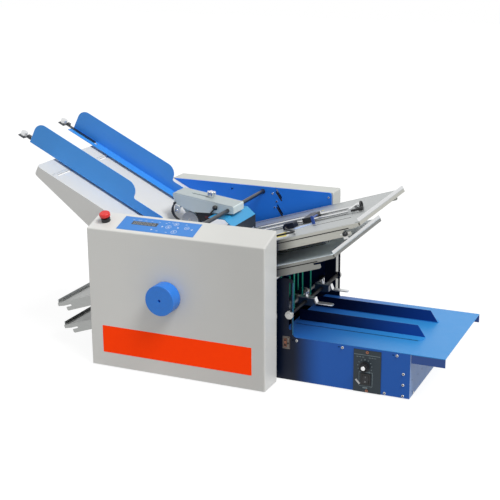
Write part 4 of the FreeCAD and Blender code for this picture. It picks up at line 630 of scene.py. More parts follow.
def base_finish():
    """Blue paint with painted shade beside the covers and a painted highlight that makes the right end pale.
    """
    f = Finish("base_blue_paint")
    paint = f.mix(right_of(f, BASE_END), (0.019, 0.124, 0.510, 1.0), (0.150, 0.280, 0.560, 1.0))
    return painted(f, paint * shaded(f, start=533, end=622, first=0.04), specular=0.25)


def cover_finish():
    """Pale paint, with painted shade a little darker towards the right of the front and a painted highlight
    on the right end.
    """
    f = Finish("front_cover_paint")
    right_end = right_of(f, COVER_END)
    front = shaded(f, start=60, end=499, first=1.06, last=0.90)
    drift_and_painted_light = front * (1.0 - right_end) + right_end * 1.08
    return painted(f, drift_and_painted_light * (0.735, 0.735, 0.705, 1.0))


def transfer_finish():
    """Sky blue on top, with painted shade that makes it dark below the bend."""
    f = Finish("transfer_paint")
    return painted(f, f.mix(below(f, TRANSFER_BEND), (0.030, 0.320, 0.620, 1.0), (0.004, 0.012, 0.024, 1.0)))


def head_finish():
    """Grey paint, with a darker lid."""
    f = Finish("head_paint")
    lid = past_plane(HEAD_LID[0], at(*HEAD_LID[1]))(f)
    return painted(f, f.mix(lid, (0.670, 0.760, 0.760, 1.0), (0.420, 0.480, 0.490, 1.0)))


def table_blue(f):
    """Light blue with painted shade, deeper beside the covers."""
    depth = shaded(f, start=500, end=860, first=0.0)
    return f.mix(depth, (0.018, 0.112, 0.420, 1.0), (0.036, 0.300, 0.720, 1.0))


def guide_finish(name, bright):
    """Painted shade: a navy wall, darker towards the covers, over a light blue flange."""
    f = Finish(name)
    wall = f.mix(shaded(f, start=580, end=850, first=0.0), (0.001, 0.005, 0.030, 1.0), bright)
    return painted(f, f.mix(below(f, FLANGE_TOP), wall, table_blue(f)), specular=0.15)


def table_finish():
    """Light blue paint on top, and painted shade in a deeper blue on the folded edges."""
    f = Finish("table_paint_blue")
    return painted(f, f.mix(below(f, TABLE_SKIN), table_blue(f), (0.014, 0.070, 0.300, 1.0)))


def rear_frame_finish():
    """Blue paint that is in shade under the plates."""
    f = Finish("rear_frame_paint")
    paint = f.mix(below(f, FRAME_SHADE), (0.018, 0.205, 0.860, 1.0), (0.002, 0.020, 0.095, 1.0))
    return painted(f, paint, specular=0.3)


by_node.update({
    "transfer_cover": transfer_finish(), "front_cover": cover_finish(), "rear_cover": rear_cover_paint,
    # The rear guide's wall is painted darker than the front one's, as painted shade.
    "delivery_guide_front": guide_finish("guide_front_paint", (0.010, 0.075, 0.360, 1.0)),
    "delivery_guide_rear": guide_finish("guide_rear_paint", (0.007, 0.048, 0.250, 1.0)),
    "feed_guide_front": guide_paint, "feed_guide_rear": guide_paint, "delivery_table": table_finish(),
    "feed_head": head_finish(), "base_chassis": base_finish(), "frame_rear": rear_frame_finish(),
    "frame_front": frame_paint,
})
print("paints by place", len(by_node))

# %% [markdown]
# ## Arms, rollers and panels in two materials
# An exit arm is a bright lever on a dark clamp block. A roller is rubber near the middle of its length and
# steel where its journals are thin, so its distance from the axis tells them apart. The control panel and
# the control plate each carry a collar or a bezel in another plastic.

# %% Two materials in one solid
ARM_BLOCK_TOP = 188.05
ARM_BLOCK_END = 547.6
BEZEL_Y = -177.65
COLLAR_END = 60
SEPARATOR = (173.5, 348.6)
SEPARATOR_HUB = 6.2
JOURNAL = 5.2
ROLLERS = {"fold_roller_1": (245.105, 304.638), "fold_roller_2": (254.895, 273.962),
           "fold_roller_3": (265.378, 243.516), "fold_roller_4": (275.168, 212.841),
           "fold_roller_5": (285.651, 182.395), "fold_roller_6": (285.651, 150.195),
           "feed_roller": (154.299, 296.452)}


def arm_finish(name):
    """A bright lever on a blue-grey clamp block: above the block's top, and beyond its end."""
    f = Finish(name)
    above = past_plane((0, 0, 1), at(0, 0, ARM_BLOCK_TOP))(f)
    lever = f.larger(above, right_of(f, ARM_BLOCK_END))
    colour = f.mix(lever, (0.020, 0.042, 0.085, 1.0), (0.760, 0.775, 0.790, 1.0))
    return f.set(Base_Color=colour, Metallic=lever * 0.9, Roughness=f.noise(120.0) * 0.1 + 0.25)


for name, (x, z) in ROLLERS.items():
    by_node[name] = two_tone(name + "_finish", near_axis(x, z, JOURNAL), (RUBBER, STEEL),
                             rough=(0.55, 0.30), metal=(0.0, 1.0))
by_node.update({
    "exit_arm_front": arm_finish("exit_arm_front_finish"),
    "exit_arm_rear": arm_finish("exit_arm_rear_finish"),
    "control_plate": two_tone("plate_and_bezel", past_plane((0, -1, 0), at(0, BEZEL_Y, 0)),
                              ((0.009, 0.022, 0.033, 1.0), (0.003, 0.003, 0.004, 1.0)), rough=(0.45, 0.35)),
    "control_panel": two_tone("panel_and_collar", past_plane((1, 0, 0), at(COLLAR_END, 0, 0)),
                              ((0.012, 0.013, 0.016, 1.0), (0.050, 0.245, 0.690, 1.0)), rough=(0.40, 0.45)),
    "separator_wheel": two_tone("separator_finish", near_axis(*SEPARATOR, SEPARATOR_HUB),
                                ((0.520, 0.540, 0.550, 1.0), STEEL), rough=(0.55, 0.25), metal=(0.0, 1.0)),
    "sensor_connector": connector_navy, "exit_bar": bar_black, "fold_stop_1": black_plastic,
    "base_screws": nickel, "thumb_nut_front": nickel, "thumb_nut_rear": nickel,
})
print("finishes by name", len(by_node))

# %% [markdown]
# ## Dressing the solids
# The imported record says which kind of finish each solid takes. The solids named above have their own, and
# all the others take one paint, plastic or metal from the record's word.

# %% A finish for every solid
by_slot = {
    "table_paint": table_paint, "blue_plastic": wheel_blue, "dark_plastic": black_plastic,
    "red_plastic": button_red, "brushed": brushed_flat, "dark_steel": dark_steel, "bright_metal": chrome,
    "belt_rubber": belt_green, "foot_rubber": foot_rubber, "cable_sheath": cable_black,
}
slots = {part["node"]: part["material_slot"] for part in frame["record"]["subparts"]}
for name, solid in nodes.items():
    solid.data.materials.clear()
    solid.data.materials.append(by_node.get(name) or by_slot[slots[name]])
print("painted", len(nodes), "solids with", len(bpy.data.materials), "finishes")

# %% [markdown]
# ## Soft edges on the solids
# Real sheet metal is never razor sharp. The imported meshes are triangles, which a bevel would chop up, so
# flat faces are first joined into one with a planar Decimate. Then the bevel has clean edges to follow.
# All of these are modifiers, so the mesh of the solid itself stays untouched.

# %% A bevel for every solid
SAME_CORNER = 0.000002
SAME_FACE = math.radians(0.3)
USUAL_EDGE = 0.3
EDGE = {"front_cover": 0.9, "rear_cover": 0.9, "feed_table": 0.7, "base_chassis": 0.5, "delivery_table": 0.5,
        "feed_head": 0.6, "handwheel": 0.8, "control_plate": 0.4, "transfer_cover": 0.6}
for name, solid in nodes.items():
    solid.modifiers.new("join corners", "WELD").merge_threshold = SAME_CORNER
    flat = solid.modifiers.new("join flat faces", "DECIMATE")
    flat.decimate_type = "DISSOLVE"
    flat.angle_limit = SAME_FACE
    soften(solid, EDGE.get(name, USUAL_EDGE), 2)
    solid.modifiers.new("even shading", "WEIGHTED_NORMAL").keep_sharp = True
print("bevels on", len(nodes), "solids")

# %% [markdown]
# ## The orange band
# A band of orange film runs along the foot of the front cover. It is a sticker, so it is a very thin slab
# with slightly rounded corners. The band stays bare.

# %% Film band on the front cover
BAND = (36.0, 463.7, 38.5, 112.9)
FILM = 0.25


def band(bm):
    slab(bm, box_outline(*BAND, radius=1.5), 0.0, FILM)


piece("cover_band", band, on_wall(0, 0, FRONT_Y), film_orange, "machine", bevel=0.08)
print("band", round(BAND[1] - BAND[0], 1), "by", round(BAND[3] - BAND[2], 1), "mm")

# %% [markdown]
# ## The control panel
# The panel is a printed membrane: a dark window with segment digits, a row of small lamps above it, and
# keys that are only outlines and simple signs. The marks are thin slabs on the blue overlay. As geometry
# they stay sharp from close up, and no picture is needed.

# %% Display and lamps
PANEL_TOP = 0.8
INK = 0.1
WINDOW = (113.0, 186.0, 37.0, 52.5)
WINDOW_TOP = 0.15
DIGIT_TOP = 0.22
DIGIT_COUNT = 6
DIGIT_START = (118.5, 39.8)
DIGIT_SIZE = (5.6, 10.0)
DIGIT_STEP = 10.8
ZERO = [(0, 1, 1, 1), (1, 0.5, 1, 1), (1, 0, 1, 0.5), (0, 0, 1, 0), (0, 0, 0, 0.5), (0, 0.5, 0, 1)]
LAMPS = [(112, 57.5), (126, 57.8), (132, 58.0), (147, 58.2), (164, 58.6), (186, 59.0), (206, 57.0),
         (212, 61.5), (222, 61.5)]
LONG_LAMPS = [(195, 20.0), (222, 18.8), (262, 60.0)]


def stroke(bm, start, end, width, low, high):
    """A straight mark between two points."""
    start, end = Vector(start), Vector(end)
    run = (end - start).normalized() * width / 2
    side = Vector((-run.y, run.x))
    slab(bm, [start - run + side, start - run - side, end + run - side, end + run + side], low, high)


def window(bm):
    slab(bm, box_outline(*WINDOW, radius=1.2), 0.0, WINDOW_TOP)


def digits(bm):
    wide, tall = DIGIT_SIZE
    for k in range(DIGIT_COUNT):
        x, s = DIGIT_START[0] + DIGIT_STEP * k, DIGIT_START[1]
        for x0, y0, x1, y1 in ZERO:
            stroke(bm, (x + wide * x0, s + tall * y0), (x + wide * x1, s + tall * y1), 1.5,
                   WINDOW_TOP, DIGIT_TOP)


def lamps(bm):
    for x, s in LAMPS:
        stroke(bm, (x - 2.2, s), (x + 2.2, s), 1.1, 0.0, INK)
    for x, s in LONG_LAMPS:
        stroke(bm, (x - 2.4, s), (x + 2.4, s), 1.2, 0.0, INK)


panel_face = on_slant(0, 0, PANEL_TOP)
printed("panel_window", window, panel_face, window_dark)
printed("panel_digits", digits, panel_face, digit_grey)
printed("panel_lamps", lamps, panel_face, ink_white)
print("digits", DIGIT_COUNT, "lamps", len(LAMPS) + len(LONG_LAMPS))

# %% [markdown]
# ## The keys
# A membrane key has no edge of its own, only a printed ring and a sign such as an arrow, a bar or a cross.
# Where two strokes of a sign cross, one stands a hair higher than the other, because two faces at the same
# height would flicker in the render.

# %% Rings and signs
SIGN = 0.12
CROSSING_SIGN = 0.13
KEY_RINGS = [(218.5, 42.0, 7.5), (234.0, 57.5, 7.0), (242.0, 24.0, 7.5), (269.0, 45.5, 6.5)]
ARROWS = [(202.0, 41.0), (179.0, 24.0), (246.0, 43.0), (242.0, 24.0)]
BARS = [(218.5, 42.0), (234.0, 57.5), (269.0, 45.5), (285.0, 41.0)]
CROSSINGS = [(218.5, 42.0), (285.0, 41.0)]


def ring_mark(bm, x, y, radius, width, low, high):
    """A thin printed ring."""
    slab(bm, disc_outline(x, y, radius), low, high, disc_outline(x, y, radius - width))


def keys(bm):
    for x, s, radius in KEY_RINGS:
        ring_mark(bm, x, s, radius, 0.9, 0.0, INK)
    for x, s in ARROWS:
        slab(bm, corners_outline((x - 2.5, s - 2.8), (x + 3.0, s), (x - 2.5, s + 2.8)), 0.0, SIGN)
    for x, s in BARS:
        stroke(bm, (x - 2.6, s), (x + 2.6, s), 1.4, 0.0, SIGN)
    for x, s in CROSSINGS:
        stroke(bm, (x, s - 2.6), (x, s + 2.6), 1.4, 0.0, CROSSING_SIGN)
    stroke(bm, (234.0, 61.0), (234.0, 54.0), 1.2, 0.0, CROSSING_SIGN)


printed("panel_keys", keys, panel_face, ink_white)
print("key rings", len(KEY_RINGS), "signs", len(ARROWS) + len(BARS))

# %% [markdown]
# ## The control plate
# A dark plate on the base carries the speed dial and the mains switch. Printed on it are a line, a scale
# of dots round the dial and an outline round the switch. The dial has a bright cap, and a bare sticker
# and a bare label sit near the switch.

# %% Scale, cap, outline and switch signs
PLATE_FACE = -177.6
DIAL = (728.7, 68.7)
SWITCH = (731.4, 35.6)
ROCKER_TILT = math.radians(8.0)
ROCKER_OUT = 3.6
ROCKER_SIGN_DEPTH = 0.9
CAP_OUT = 14.3
GRIP_OUT = 3.3
STICKER = 0.15
DOTS = 11
DOT_RING = 18.5
FIRST_DOT = 230
DOT_TURN = 28
LINE_Z = 99.5
DASHES = (709, 716, 724, 741, 748, 755)
DASH_Z = 93.5


def scale(bm):
    for k in range(DOTS):
        angle = math.radians(FIRST_DOT - DOT_TURN * k)
        x, z = DIAL[0] + DOT_RING * math.cos(angle), DIAL[1] + DOT_RING * math.sin(angle)
        slab(bm, disc_outline(x, z, 1.25 if k % 5 else 1.7, 14), 0.0, INK)
    stroke(bm, (701.0, LINE_Z), (767.0, LINE_Z), 1.2, 0.0, INK)
    for x in DASHES:
        stroke(bm, (x - 2.0, DASH_Z), (x + 2.0, DASH_Z), 1.3, 0.0, INK)


def round_switch(half_width, half_height, radius):
    """A rounded rectangle about the switch."""
    x, z = SWITCH
    return box_outline(x - half_width, x + half_width, z - half_height, z + half_height, radius)


def surround(bm):
    slab(bm, round_switch(18.0, 19.5, 3.0), 0.0, SIGN, round_switch(17.0, 18.5, 2.4))


def stickers(bm):
    slab(bm, corners_outline((703.5, 30.5), (707.0, 33.5), (717.5, 22.5), (714.0, 19.0)), 0.0, STICKER)


def low_label(bm):
    slab(bm, box_outline(724.0, 736.5, 10.5, 14.0, 0.8), 0.0, STICKER)


def cap(bm):
    turned(bm, [(5.6, 0.0), (5.6, 0.8), (5.0, 1.2), (4.6, 0.9), (0.2, 0.9)], 40)


def grip(bm):
    turned(bm, [(10.02, 0.2), (10.9, 0.4), (10.9, 10.4), (10.2, 11.0), (10.02, 11.0)], 96, 24, 0.7)


def rocker_signs(bm):
    stroke(bm, (-0.1, 4.6), (-0.1, 7.2), 0.8, -ROCKER_SIGN_DEPTH, INK)
    ring_mark(bm, 0.0, -5.8, 1.8, 0.6, -ROCKER_SIGN_DEPTH, INK)


plate_place = on_wall(0, 0, PLATE_FACE)
printed("control_scale", scale, plate_place, ink_grey)
printed("switch_surround", surround, plate_place, ink_grey)
printed("control_sticker", stickers, plate_place, label_white)
printed("control_label", low_label, plate_place, ink_grey)
rocker_face = seat(at(SWITCH[0], PLATE_FACE - ROCKER_OUT, SWITCH[1]), (1, 0, 0),
                   (0, math.sin(ROCKER_TILT), math.cos(ROCKER_TILT)))
printed("rocker_signs", rocker_signs, rocker_face, digit_grey, "rocker")
piece("dial_cap", cap, on_wall(*DIAL, PLATE_FACE - CAP_OUT), chrome, "dial")
piece("dial_grip", grip, on_wall(*DIAL, PLATE_FACE - GRIP_OUT), black_plastic, "dial")
print("control plate dressed")

# %% [markdown]
# ## Screws
# The wall screws have a socket in the head. At this size a socket reads as a small dark hexagon, so its
# shade is painted as a six-sided slab in black, almost flush with the head. The two screws of the control
# plate have warm brass heads. The rear frame has four small bright screws, and its two slots get painted
# shade, so they look black from the front.

# %% Sockets, brass heads and bright heads
WALL_HEAD = 2.1
BRASS_HEAD = 3.8
REAR_HEAD = 1.4
SOCKET = 0.16
REAR_FRAME_Y = 206.0
WALL_SCREWS = [(546.2, 110.0), (669.0, 110.0), (810.7, 110.0), (827.9, 6.0), (827.9, 35.0), (827.9, 64.0),
               (780.7, 6.0)]
PLATE_SCREWS = [(734.85, 5.0), (734.85, 107.5)]
REAR_SCREWS = [(320.0, 386.0), (332.6, 364.0), (326.5, 346.0), (488.5, 390.5)]
REAR_SLOTS = [((331.5, 391.1), (346.5, 369.1)), ((334.5, 345.6), (349.5, 323.6))]


def sockets(bm):
    for x, z in WALL_SCREWS:
        slab(bm, disc_outline(x, z, 2.1, 6), WALL_HEAD, WALL_HEAD + SOCKET)
    for x, z in PLATE_SCREWS:
        slab(bm, disc_outline(x, z, 1.6, 6), BRASS_HEAD, BRASS_HEAD + SOCKET)


def brass_heads(bm):
    for x, z in PLATE_SCREWS:
        slab(bm, disc_outline(x, z, 3.75), 1.6, BRASS_HEAD)


def rear_heads(bm):
    for x, z in REAR_SCREWS:
        slab(bm, disc_outline(x, z, 2.6), 0.0, REAR_HEAD)


def rear_sockets(bm):
    for x, z in REAR_SCREWS:
        slab(bm, disc_outline(x, z, 1.1, 6), REAR_HEAD, REAR_HEAD + INK)


def slot_shades(bm):
    for start, end in REAR_SLOTS:
        stroke(bm, start, end, 4.6, 0.05, 0.25)


base_wall = on_wall(0, 0, BASE_Y)
rear_wall = on_wall(0, 0, REAR_FRAME_Y)
printed("screw_sockets", sockets, base_wall, hole_black)
piece("brass_heads", brass_heads, base_wall, brass, "machine", bevel=0.4)
piece("rear_frame_screws", rear_heads, rear_wall, chrome, "machine", bevel=0.4)
printed("rear_frame_sockets", rear_sockets, rear_wall, hole_black)
printed("rear_slot_shades", slot_shades, rear_wall, hole_black)
print("screws", len(WALL_SCREWS) + len(PLATE_SCREWS) + len(REAR_SCREWS))

# %% [markdown]
# ## Small fittings of the base
# Beside the covers the base carries a small dark latch, and its right end has a screw and three vent
# holes, whose dark insides are painted shade. A thin light line along the edge of the upright is a
# painted highlight, where the edge catches the light.

# %% Latch, holes and the painted edge highlight
LATCH_SHEET = 1.2
LATCH_BODY = 3.6
LATCH_RIM = 4.5
HOLE = 0.15
END_FACE = 844.4
VENTS = [(-65.8, 38.8), (-156.2, 43.8), (-102.3, 39.1)]


def latch_plate(bm):
    slab(bm, box_outline(507.5, 528.0, 84.0, 118.0, 1.5), 0.0, LATCH_SHEET)
    slab(bm, box_outline(521.5, 527.0, 86.0, 116.0, 1.5), LATCH_SHEET, LATCH_RIM)


def latch_body(bm):
    slab(bm, box_outline(511.5, 519.5, 90.0, 112.0, 1.0), LATCH_SHEET, LATCH_BODY)


def latch_holes(bm):
    slab(bm, box_outline(513.0, 518.0, 105.5, 110.0, 0.8), LATCH_BODY, LATCH_BODY + HOLE)
    slab(bm, box_outline(513.0, 518.0, 92.0, 99.0, 0.8), LATCH_BODY, LATCH_BODY + HOLE)
    slab(bm, box_outline(521.9, 526.6, 99.0, 103.0, 0.8), LATCH_RIM, LATCH_RIM + HOLE)


def end_holes(bm):
    for y, z in VENTS:
        slab(bm, disc_outline(y, z, 1.5, 14), 0.0, INK)


def end_screw(bm):
    slab(bm, disc_outline(-142.7, 6.0, 3.4), 0.0, 1.8)


def painted_edge_highlight(bm):
    slab(bm, box_outline(534.9, 536.1, 124.0, 262.0, 0.4), 0.0, SIGN)


end_wall = seat(at(END_FACE, 0, 0), (0, 1, 0), (0, 0, 1))
piece("latch_plate", latch_plate, base_wall, latch_metal, "machine", bevel=0.3)
piece("latch_body", latch_body, base_wall, brass, "machine", bevel=0.3)
printed("latch_holes", latch_holes, base_wall, hole_black)
printed("end_holes", end_holes, end_wall, hole_black)
piece("end_screw", end_screw, end_wall, nickel, "machine", bevel=0.4)
printed("painted_edge_highlight", painted_edge_highlight, base_wall, sky_paint)
print("base fittings made")

# %% [markdown]
# ## Scales and shadow gaps
# The feed table has a printed rule beside its slot, so that both guides are set alike. Thin dark slabs
# paint shadow: under the front edge of the delivery guide's flange, in the groove where each upper plate
# meets its side flange, and beside the rails of the upper plate, where they also paint dark reflection.
# A few more dark lines lie on the upper plate.

# %% Rule and painted shadow lines
RULE_EDGE = 49.0
RULE_STARTS = (-187.0, 43.0)
RULE_STEP = 4.0
RULE_MARKS = 23
SUNK = -0.2
# Each dark line: its y, its two ends down the plate, and its width. The first four paint the shadow and
# dark reflection beside the rails.
RAIL_LINES = [(-32.5, 78.0, 376.0, 3.0), (-21.8, 78.0, 376.0, 2.2), (21.8, 78.0, 376.0, 2.2),
              (32.5, 78.0, 376.0, 3.0), (-92.0, 300.0, 406.0, 2.4), (164.0, 8.0, 200.0, 1.6),
              (93.0, 45.0, 205.0, 3.0)]


def rule(bm):
    for k in range(RULE_MARKS):
        length = 7.0 if k % 5 == 0 else 4.0
        for start in RULE_STARTS:
            y = start + RULE_STEP * k
            stroke(bm, (RULE_EDGE, y), (RULE_EDGE + length, y), 0.7, 0.0, 0.05)


def rail_lines(bm):
    for y, u0, u1, wide in RAIL_LINES:
        slab(bm, box_outline(u0, u1, y - wide / 2, y + wide / 2, 0.4), SUNK, 0.35)


def side_line(end):
    """Painted shade in the groove between the sheet's edge and the side flange."""
    return lambda bm: slab(bm, box_outline(2.0, end, -9.6, -7.2, 0.4), SUNK, 0.3)


def guide_edge_shadow(bm):
    slab(bm, box_outline(507.0, 836.0, -82.4, -80.9, 0.3), 119.35, 119.6)


def level(x, y, z):
    """A level place."""
    return seat(at(x, y, z), (1, 0, 0), (0, 1, 0))


plate_top = on_plate(1, 0, 0)
printed("feed_rule", rule, on_feed(0, 0), ink_grey)
printed("rail_lines", rail_lines, plate_top, hole_black)
for number, end in ((1, 432.0), (2, 328.0)):
    lean = math.radians(PLATES[number][2])
    side_face = seat(on_plate(number, 0, -190.0).translation, (math.cos(lean), 0, math.sin(lean)),
                     (-math.sin(lean), 0, math.cos(lean)))
    printed("plate_groove_shade_%d" % number, side_line(end), side_face, hole_black)
printed("guide_edge_shadow", guide_edge_shadow, level(0, 0, 0), hole_black, "sheet_guide_front")
print("rule marks", 2 * RULE_MARKS, "rail lines", len(RAIL_LINES))

# %% [markdown]
# ## Fittings of the upper plate
# Behind the stop carriage sit a blue bracket, a white guide and a pale strip. Near the front cover the
# plate has a bare yellow label, and the rear rail ends in a black eye. A knurled black pin sits in the
# notch of the plate's side, where the plate is hooked to its neighbour.

# %% Bracket, strip, label, eye and pin
LABEL_TOP = 0.25
FIELD_TOP = 0.4
RAIL_END = (392.3, 27.0, 8.0)
NOTCH = (420.4, -190.2, -19.4)


def bracket(bm):
    slab(bm, box_outline(288.0, 296.0, -67.0, -63.0, 1.0), 0.0, 21.0)
    slab(bm, box_outline(288.0, 294.0, -63.0, -30.0, 1.0), 14.3, 17.0)


def white_guide(bm):
    slab(bm, box_outline(249.0, 262.0, 40.0, 68.0, 1.5), 0.0, 9.0)
    slab(bm, box_outline(262.0, 290.0, 44.0, 60.0, 1.5), 0.0, 5.0)


def pale_strip(bm):
    slab(bm, corners_outline((238.0, -78.0), (248.0, -88.0), (292.0, -62.0), (284.0, -50.0)), 0.0, 2.2)


def label(bm):
    sheet = corners_outline((186.0, -104.0), (220.0, -166.0), (264.0, -174.0), (234.0, -88.0))
    slab(bm, sheet, 0.0, LABEL_TOP)


def label_field(bm):
    field = corners_outline((200.0, -109.0), (224.0, -154.0), (254.0, -163.0), (227.0, -98.0))
    slab(bm, field, LABEL_TOP, FIELD_TOP)


def yellow_dot(bm):
    slab(bm, disc_outline(246.0, 120.0, 4.5), 0.0, 0.12)


def label_lines(bm):
    for k in range(3):
        start, end = (216.0 + 8.0 * k, -112.0 - 12.0 * k), (226.0 + 8.0 * k, -140.0 - 4.0 * k)
        stroke(bm, start, end, 1.4, FIELD_TOP, 0.46)


def eye(bm):
    slab(bm, disc_outline(0.0, 0.0, 9.6), 0.1, 4.0, disc_outline(0.0, 0.0, 5.2))


def eye_core(bm):
    slab(bm, disc_outline(0.0, 0.0, 3.9), -4.8, -3.0)


def notch_pin(bm):
    profile = [(2.2, -4.0), (2.2, 1.0), (6.2, 1.0), (6.2, 6.0), (3.0, 6.6), (3.0, 9.0), (0.2, 9.0)]
    turned(bm, profile, 28, 9, 0.6)


def notch_lug(bm):
    slab(bm, box_outline(-7.0, 5.0, -13.5, -6.5, 1.0), -1.0, 2.0)
    slab(bm, box_outline(-14.0, 12.0, -2.0, 2.0, 1.0), -1.0, 1.4)


slope = math.radians(PLATES[1][2])
plate_up = (-math.sin(slope), 0, math.cos(slope))
rail_end = seat(on_plate(1, *RAIL_END).translation, (0, 1, 0), plate_up)
pin_spot = on_plate(1, *NOTCH).translation
side_place = seat(pin_spot, (math.cos(slope), 0, math.sin(slope)), plate_up)
piece("stop_bracket", bracket, plate_top, bracket_blue, "machine", bevel=0.3)
piece("white_guide", white_guide, plate_top, label_white, "machine", bevel=0.4)
piece("pale_strip", pale_strip, plate_top, strip_blue, "machine", bevel=0.3)
printed("plate_label", label, plate_top, label_white)
printed("plate_label_field", label_field, plate_top, label_yellow)
printed("plate_label_lines", label_lines, plate_top, ink_grey)
printed("yellow_dot", yellow_dot, plate_top, label_yellow)
piece("rail_eye", eye, rail_end, black_plastic, "machine", bevel=0.5)
piece("rail_eye_core", eye_core, rail_end, nickel, "machine", bevel=0.3)
piece("notch_pin", notch_pin, side_place, black_plastic, "machine")
piece("notch_lug", notch_lug, side_place, nickel, "machine", bevel=0.4)
print("plate fittings made")

# %% [markdown]
# ## Fittings of the feed head
# A lever with a black ball lifts the head's inner roller box, a black block under the housing. The strap
# at the left is held by a bright screw on a small bracket. All of them ride on the head when it swings.

# %% Ball lever, roller box and strap screw
BALL = 7.0
BOX_HALF = 26.0
STRAP_FACE = -33.0


def rod_piece(name, start, end, radius, finish, body):
    """A round bar between two places."""
    start, end = at(*start), at(*end)
    run = end - start
    side = run.cross(Vector((0, 0, 1)))
    place = seat(start, side, run.cross(side))

    def build(bm):
        turned(bm, [(radius, 0.0), (radius, run.length / MM)], 20)
    return piece(name, build, place, finish, body)


def ball(bm):
    angles = [math.pi * k / 12 for k in range(13)]
    turned(bm, [(max(BALL * math.sin(angle), 0.1), -BALL * math.cos(angle)) for angle in angles], 28)


def roller_box(bm):
    side = corners_outline((203.0, 352.0), (238.0, 352.0), (244.0, 366.0), (240.0, 377.0), (190.0, 374.5))
    slab(bm, side, -BOX_HALF, BOX_HALF)


def box_stripe(bm):
    slab(bm, box_outline(220.0, 234.0, 361.0, 368.0, 1.0), BOX_HALF, BOX_HALF + 1.0)


def strap_bracket(bm):
    slab(bm, corners_outline((131.0, 372.0), (145.0, 370.0), (152.0, 386.0), (134.5, 393.0)), 0.1, 1.6)


def strap_screw(bm):
    turned(bm, [(4.0, 1.6), (4.0, 3.2), (3.0, 4.4), (0.2, 4.4)], 24)


rod_piece("head_lever", (255.5, -35.5, 395.0), (240.0, -35.5, 378.5), 1.8, black_plastic, "head")
piece("head_lever_ball", ball, on_wall(256.3, 396.5, -40.5), black_plastic, "head")
piece("head_roller_box", roller_box, on_wall(0, 0, 0), black_plastic, "head", bevel=0.8)
piece("head_box_stripe", box_stripe, on_wall(0, 0, 0), dark_red, "head", bevel=0.3)
piece("strap_bracket", strap_bracket, on_wall(0, 0, STRAP_FACE), head_paint, "head", bevel=0.3)
piece("strap_screw", strap_screw, on_wall(140.0, 377.0, STRAP_FACE), chrome, "head")
print("head fittings made")

# %% [markdown]
# ## The sensor cable
# A short cable joins the connector on the upper fold plate with the front frame. It is a limp round cable
# of 5 mm, so it is one smooth NURBS curve through the air, with the route's own points as its control
# points and a round bevel for its thickness.

# %% Cable as a NURBS curve
ROUTE = [(471.749, -62.0, 372.403), (471.749, -80.0, 372.403), (506.177, -122.0, 381.291),
         (529.689, -150.0, 389.844), (527.024, -174.0, 391.618), (479.983, -184.0, 378.180),
         (479.983, -203.0, 378.180)]
curve = bpy.data.curves.new("sensor_cable_curve", "CURVE")
curve.dimensions = "3D"
curve.bevel_depth = 2.5 * MM
curve.bevel_resolution = 6
curve.use_fill_caps = True
line = curve.splines.new("NURBS")
line.points.add(len(ROUTE) - 1)
for point, place in zip(line.points, ROUTE):
    point.co = (*at(*place), 1.0)
line.order_u = 3
line.use_endpoint_u = True
line.resolution_u = 16
curve.materials.append(cable_black)
cable = bpy.data.objects.new("sensor_cable_soft", curve)
bpy.context.scene.collection.objects.link(cable)
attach(cable, "machine")
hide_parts("sensor_cable")
print("cable points", len(ROUTE))

# %% [markdown]
# ## Light, floor and camera
# A product portrait has soft, plain light: a bright even room, and one large lamp from the upper right
# that makes tops lighter than fronts. The world gives the room. Seen directly or in a reflection it is
# white, while its light on the machine is weaker, so that colours come out as they are painted.

# %% World and lamp
AMBIENT = 0.44

world = bpy.data.worlds.new("studio")
bpy.context.scene.world = world
world.use_nodes = True
room = Network(world.node_tree, "Background")
room.set(Color=(1.0, 1.0, 1.0, 1.0), Strength=room.seen() * (1.0 - AMBIENT) + AMBIENT)


def sunlight(name, energy, spread_angle, towards):
    """A far lamp; its direction points from the machine to the lamp."""
    sun = bpy.data.lights.new(name, "SUN")
    sun.energy = energy
    sun.angle = math.radians(spread_angle)
    lamp = bpy.data.objects.new(name, sun)
    lamp.rotation_euler = Vector(towards).to_track_quat("Z", "Y").to_euler()
    bpy.context.scene.collection.objects.link(lamp)


sunlight("key", energy=2.15, spread_angle=25.0, towards=(0.40, -0.165, 0.66))
bpy.context.scene.view_settings.view_transform = "Standard"
print("light set")

# %% [markdown]
# ## The floor
# The portrait has a white ground. The floor is a large pale sheet. Towards the camera it glows a little,
# so that it meets the white background without an edge, and a part of it stays a matt surface that
# keeps the machine's soft shadow.

# %% A pale floor that keeps the shadow
GLOW = 1.42
GLOW_SHARE = 0.64

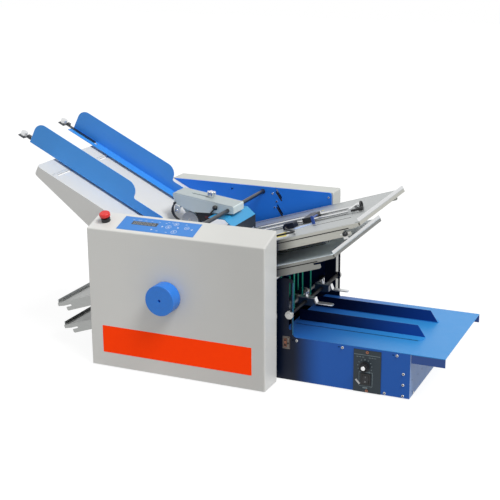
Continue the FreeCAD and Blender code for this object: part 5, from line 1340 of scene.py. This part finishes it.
floor_mesh = bpy.data.meshes.new("floor")
bm = bmesh.new()
reach = 9.0
corners = [bm.verts.new((sx * reach, sy * reach, 0.0)) for sx, sy in ((-1, -1), (1, -1), (1, 1), (-1, 1))]
bm.faces.new(corners)
bm.to_mesh(floor_mesh)
bm.free()
floor = bpy.data.objects.new("floor", floor_mesh)
bpy.context.scene.collection.objects.link(floor)
ground = Finish("ground")
ground.set(Base_Color=(0.46, 0.46, 0.46, 1.0) * (ground.noise(3.0) * 0.02 + 0.99), Roughness=0.9,
           Specular_IOR_Level=0.0)
glow = ground.node("ShaderNodeEmission", None, {"Strength": GLOW})
blend = ground.node("ShaderNodeMixShader", None, {0: ground.seen() * GLOW_SHARE,
                                                  1: Signal(ground, ground.shader.outputs[0]), 2: glow})
ground.feed(ground.tree.nodes["Material Output"].inputs["Surface"], blend)
floor_mesh.materials.append(ground.material)
print("floor laid")

# %% [markdown]
# ## The camera
# The portrait was taken from the operator's right, a little above the covers. Its place and lens were
# found by fitting straight edges of the machine to the picture, and are simply set here.

# %% Camera
CAMERA_SPOT = (1565.950, -2765.380, 1176.360)
FOCAL_LENGTH = 84.26
AZIMUTH, ELEVATION, ROLL = math.radians(23.91), math.radians(16.54), math.radians(-0.37)
ahead = Vector((-math.sin(AZIMUTH) * math.cos(ELEVATION), math.cos(AZIMUTH) * math.cos(ELEVATION),
                -math.sin(ELEVATION)))
right = ahead.cross(Vector((0, 0, 1))).normalized()
upward = right.cross(ahead)
rolled_right = right * math.cos(ROLL) + upward * math.sin(ROLL)
rolled_up = upward * math.cos(ROLL) - right * math.sin(ROLL)
lens = bpy.data.cameras.new("portrait")
lens.sensor_width = 36.0
lens.lens = FOCAL_LENGTH
lens.clip_end = 60.0
camera = bpy.data.objects.new("portrait", lens)
facing = Matrix((rolled_right, rolled_up, -ahead)).transposed().to_4x4()
camera.matrix_world = Matrix.Translation(at(*CAMERA_SPOT)) @ facing
bpy.context.scene.collection.objects.link(camera)
bpy.context.scene.camera = camera
print("camera at", camera.matrix_world.translation)

# %% Update the scene
bpy.context.view_layer.update()
